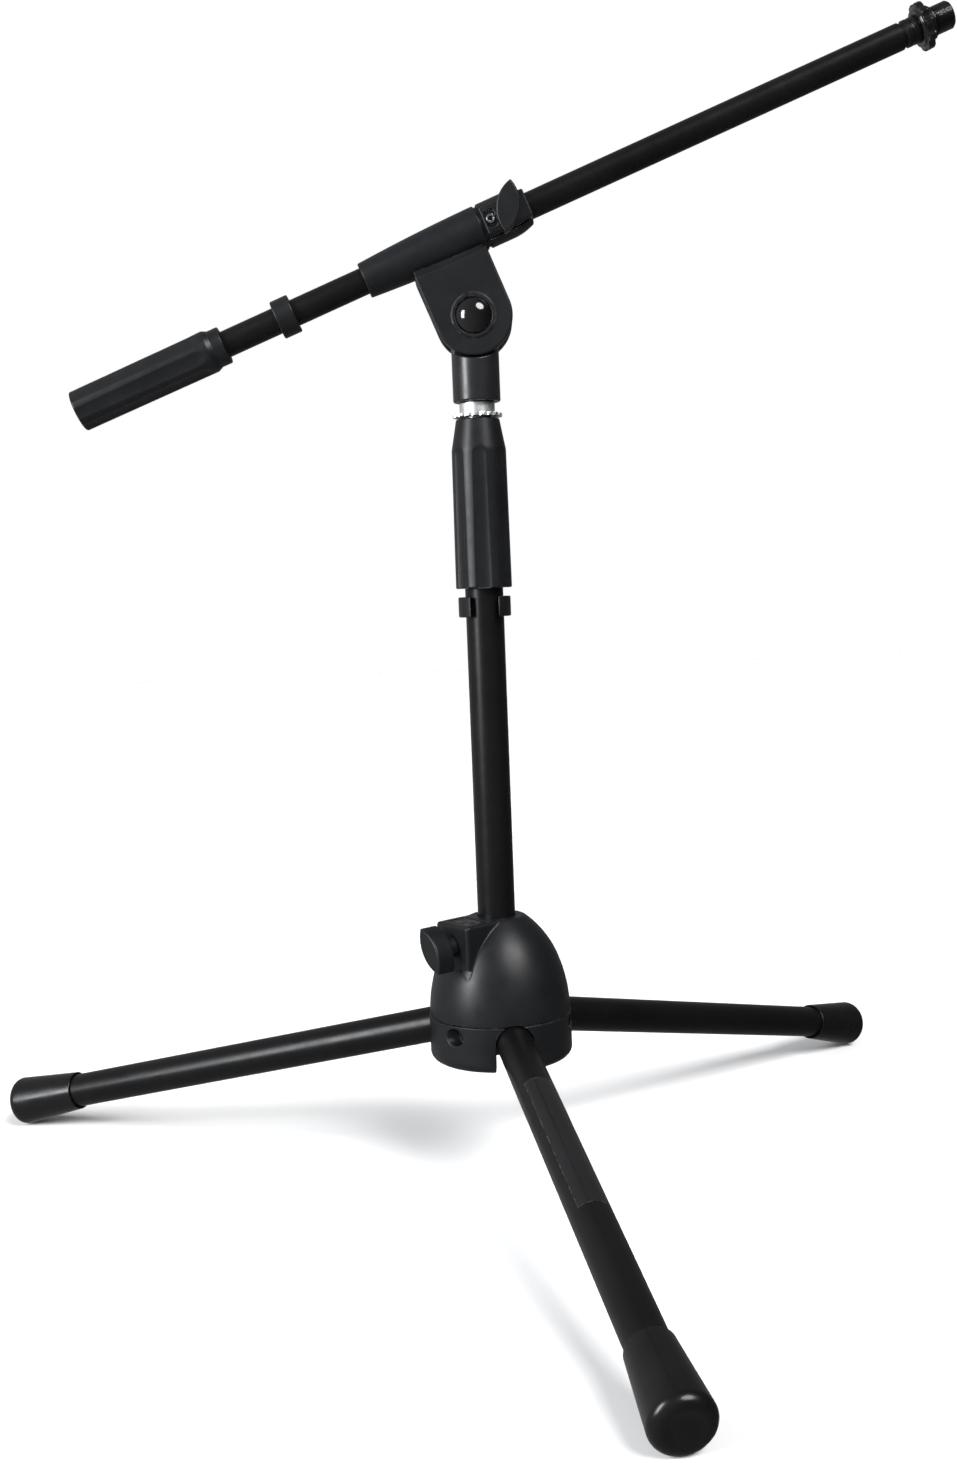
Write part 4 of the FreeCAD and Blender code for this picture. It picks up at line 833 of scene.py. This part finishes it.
def moulded(name, dark, light, rough, grain, relief, specular=0.5, coat=0.0, worn_and_lit=WORN_AND_LIT_EDGE):
    """Moulded plastic or rubber: fine spark-eroded grain, slow gloss changes, edges lightened partly as rubbed
    wear and partly as a painted highlight.
    """
    material, tree, shader = new_material(name)
    slow = noise_node(tree, PATCHES, 4, 0.6)
    colour = mixed_colour(tree, spread(tree, slow, 0, 1), dark, light)
    # Edges take a lighter tone, partly rubbed wear and partly a painted highlight.
    rubbed_and_lit = tree.nodes.new("ShaderNodeMix")
    rubbed_and_lit.data_type = "RGBA"
    tree.links.new(edge_wear_and_highlight(tree, EDGE_WIDTH, EDGE_LOW, EDGE_HIGH), rubbed_and_lit.inputs[0])
    tree.links.new(colour, rubbed_and_lit.inputs[6])
    rubbed_and_lit.inputs[7].default_value = (*worn_and_lit, 1)
    tree.links.new(rubbed_and_lit.outputs[2], shader.inputs["Base Color"])
    gloss = spread(tree, noise_node(tree, GLOSS_PATCHES, 5, 0.65), rough - 0.05, rough + 0.06)
    tree.links.new(gloss, shader.inputs["Roughness"])
    shader.inputs["Specular IOR Level"].default_value = specular
    shader.inputs["Coat Weight"].default_value = coat
    shader.inputs["Coat Roughness"].default_value = COAT_ROUGHNESS
    bump(tree, shader, (noise_node(tree, grain, 2), relief, 0.35),
         (noise_node(tree, grain * 0.22, 3), relief * 2.2, 0.14))
    return material


def coated_steel():
    """Satin black powder coat: orange peel, dust-sized pits, faint handling marks."""
    material, tree, shader = new_material("powder_coat")
    slow = noise_node(tree, 16, 4, 0.6)
    colour = mixed_colour(tree, spread(tree, slow, 0, 1), (0.0022, 0.0022, 0.0024),
                          (0.004, 0.004, 0.0044))
    tree.links.new(colour, shader.inputs["Base Color"])
    gloss = spread(tree, noise_node(tree, 60, 5, 0.7), 0.26, 0.38)
    tree.links.new(gloss, shader.inputs["Roughness"])
    shader.inputs["Specular IOR Level"].default_value = 0.18
    bump(tree, shader, (noise_node(tree, 900, 2), 0.00006, 0.3),
         (noise_node(tree, 240, 2), 0.00012, 0.25))
    return material


def plated(name, tone, rough, scratch, pits=0.00002):
    """Plated or machined metal with fine turning marks and dulled patches."""
    material, tree, shader = new_material(name)
    slow = noise_node(tree, 120, 4, 0.6)
    darker = tuple(c * 0.72 for c in tone)
    tree.links.new(mixed_colour(tree, spread(tree, slow, 0, 1, 0.35, 0.75), tone, darker),
                   shader.inputs["Base Color"])
    shader.inputs["Metallic"].default_value = 1.0
    tree.links.new(spread(tree, noise_node(tree, 400, 4), rough * 0.85, rough * 1.2),
                   shader.inputs["Roughness"])
    bump(tree, shader, (noise_node(tree, scratch, 3, 0.6, (1, 1, 6)), pits, 0.4))
    return material


def make_materials():
    """Every material slot of the record. Colours are dark and light tones of slow variation."""
    return {
        "powder_coat": coated_steel(),
        "charcoal_plastic": moulded("charcoal_plastic", (0.0042, 0.0045, 0.0052),
                                    (0.0066, 0.007, 0.0082), rough=0.38, grain=3400, relief=0.00004,
                                    specular=0.22),
        "gloss_cap": moulded("gloss_cap", (0.002, 0.002, 0.0022), (0.0035, 0.0035, 0.0038), rough=0.1,
                             grain=900, relief=0.000008, specular=0.4, coat=0.3,
                             worn_and_lit=(0.02, 0.02, 0.021)),
        "boot_rubber": moulded("boot_rubber", (0.003, 0.003, 0.0033), (0.005, 0.005, 0.0054),
                               rough=0.24, grain=1600, relief=0.00003, specular=0.25,
                               worn_and_lit=(0.014, 0.014, 0.015)),
        "chrome_plate": plated("chrome_plate", (0.9, 0.91, 0.92), rough=0.36, scratch=900),
        "bright_steel": plated("bright_steel", (0.4, 0.4, 0.41), rough=0.28, scratch=1200),
        "dark_steel": plated("dark_steel", (0.06, 0.06, 0.063), rough=0.2, scratch=1200,
                             pits=0.000006),
        "nylon": moulded("nylon", (0.02, 0.02, 0.021), (0.03, 0.03, 0.031), rough=0.5, grain=2400,
                         relief=0.00003),
        "die_cast": moulded("die_cast", (0.006, 0.0062, 0.0068), (0.0095, 0.0097, 0.0105), rough=0.30,
                            grain=2000, relief=0.00005, specular=0.32),
        "weight_iron": plated("weight_iron", (0.22, 0.21, 0.2), rough=0.55, scratch=700, pits=0.00008),
        "label_film": moulded("label_film", (0.007, 0.007, 0.0075), (0.009, 0.009, 0.0097), rough=0.22,
                              grain=1200, relief=0.00001, specular=0.25),
    }


def dress(piece, material):
    piece.data.materials.clear()
    piece.data.materials.append(material)


def dress_frame(materials):
    """Give every carried-over node the material of its slot."""
    for node, slot in node_slot.items():
        dress(frame["nodes"][node], materials[slot])


# ---- studio ---------------------------------------------------------------------------------

CAMERA_PLACE = Vector((0, -920.1, 340.0)) * MM
CAMERA_YAW, CAMERA_PITCH, CAMERA_ROLL = -0.4003, 5.039, -2.229
CAMERA_LENS = 39.05
STAND_MIDDLE = (0, 0, 0.25)
FLOOR_HALF = 6.0
ROOM_LIGHT = (0.5, 0.03)
TOP_LIGHT_PLACE, TOP_LIGHT_STRENGTH, TOP_LIGHT_SOFTNESS = (0.65, -0.75, 1.0), 4.15, 32
LEFT_BOX_PLACE, LEFT_BOX_WIDTH, LEFT_BOX_HEIGHT, LEFT_BOX_POWER = (-1.6, -1.15, 0.85), 0.5, 1.1, 62


def make_camera():
    yaw, pitch, roll = map(math.radians, (CAMERA_YAW, CAMERA_PITCH, CAMERA_ROLL))
    ahead = Vector((math.sin(yaw), math.cos(yaw), 0))
    forward = ahead * math.cos(pitch) - UP * math.sin(pitch)
    level = Vector((math.cos(yaw), -math.sin(yaw), 0))
    upward = level.cross(forward)
    right = level * math.cos(roll) + upward * math.sin(roll)
    top = upward * math.cos(roll) - level * math.sin(roll)
    camera = bpy.data.objects.new("camera", bpy.data.cameras.new("camera"))
    bpy.context.scene.collection.objects.link(camera)
    turned = Matrix((right, top, -forward)).transposed().to_4x4()
    camera.matrix_world = Matrix.Translation(CAMERA_PLACE) @ turned
    camera.data.lens = CAMERA_LENS
    camera.data.clip_start, camera.data.clip_end = 0.01, 50
    bpy.context.scene.camera = camera


def aimed(lamp, place, target):
    """Put a lamp in the scene at place, shining at target."""
    bpy.context.scene.collection.objects.link(lamp)
    lamp.location = place
    lamp.rotation_euler = (Vector(target) - Vector(place)).to_track_quat("-Z", "Y").to_euler()


def soft_box(name, place, width, height, power, colour):
    light = bpy.data.lights.new(name, "AREA")
    light.shape = "RECTANGLE"
    light.size, light.size_y = width, height
    light.energy = power
    light.color = colour
    aimed(bpy.data.objects.new(name, light), place, STAND_MIDDLE)


def top_light(place, strength, softness):
    """A wide soft light from far above, even over the whole floor."""
    light = bpy.data.lights.new("top_light", "SUN")
    light.energy = strength
    light.angle = math.radians(softness)
    aimed(bpy.data.objects.new("top_light", light), place, (0, 0, 0))


def make_floor():
    mesh = bpy.data.meshes.new("floor")
    half = FLOOR_HALF
    mesh.from_pydata([(-half, -half, 0), (half, -half, 0), (half, half, 0), (-half, half, 0)], [],
                     [(0, 1, 2, 3)])
    floor = bpy.data.objects.new("floor", mesh)
    bpy.context.scene.collection.objects.link(floor)
    material, tree, shader = new_material("pale_paper")
    tree.links.new(mixed_colour(tree, noise_node(tree, 1.5), (0.885, 0.885, 0.885), (0.9, 0.9, 0.9)),
                   shader.inputs["Base Color"])
    shader.inputs["Roughness"].default_value = 0.9
    shader.inputs["Specular IOR Level"].default_value = 0.1
    dress(floor, material)
    floor.visible_glossy = False


def make_room():
    """A room that is dim on the right and brighter on the left, in front of a white backdrop."""
    world = bpy.data.worlds.new("studio")
    bpy.context.scene.world = world
    world.use_nodes = True
    tree = world.node_tree
    back = tree.nodes["Background"]
    back.inputs["Color"].default_value = (1, 1, 1, 1)
    place = tree.nodes.new("ShaderNodeTexCoord")
    parts = tree.nodes.new("ShaderNodeSeparateXYZ")
    tree.links.new(place.outputs["Generated"], parts.inputs[0])
    room = spread(tree, parts.outputs["X"], *ROOM_LIGHT, -1, 1)
    path = tree.nodes.new("ShaderNodeLightPath")
    seen = tree.nodes.new("ShaderNodeMix")
    tree.links.new(path.outputs["Is Camera Ray"], seen.inputs["Factor"])
    tree.links.new(room, seen.inputs["A"])
    seen.inputs["B"].default_value = 1.0
    tree.links.new(seen.outputs["Result"], back.inputs["Strength"])


def make_studio():
    make_room()
    make_floor()
    top_light(TOP_LIGHT_PLACE, TOP_LIGHT_STRENGTH, TOP_LIGHT_SOFTNESS)
    soft_box("left_box", LEFT_BOX_PLACE, LEFT_BOX_WIDTH, LEFT_BOX_HEIGHT, LEFT_BOX_POWER,
             (0.95, 0.97, 1.0))
    bpy.context.scene.view_settings.view_transform = "Standard"


# ---- build ----------------------------------------------------------------------------------

make_camera()
make_studio()
materials = make_materials()
dress_frame(materials)
build_hub()
build_wings()
build_column()
build_clamp()
build_boom()
build_boots()
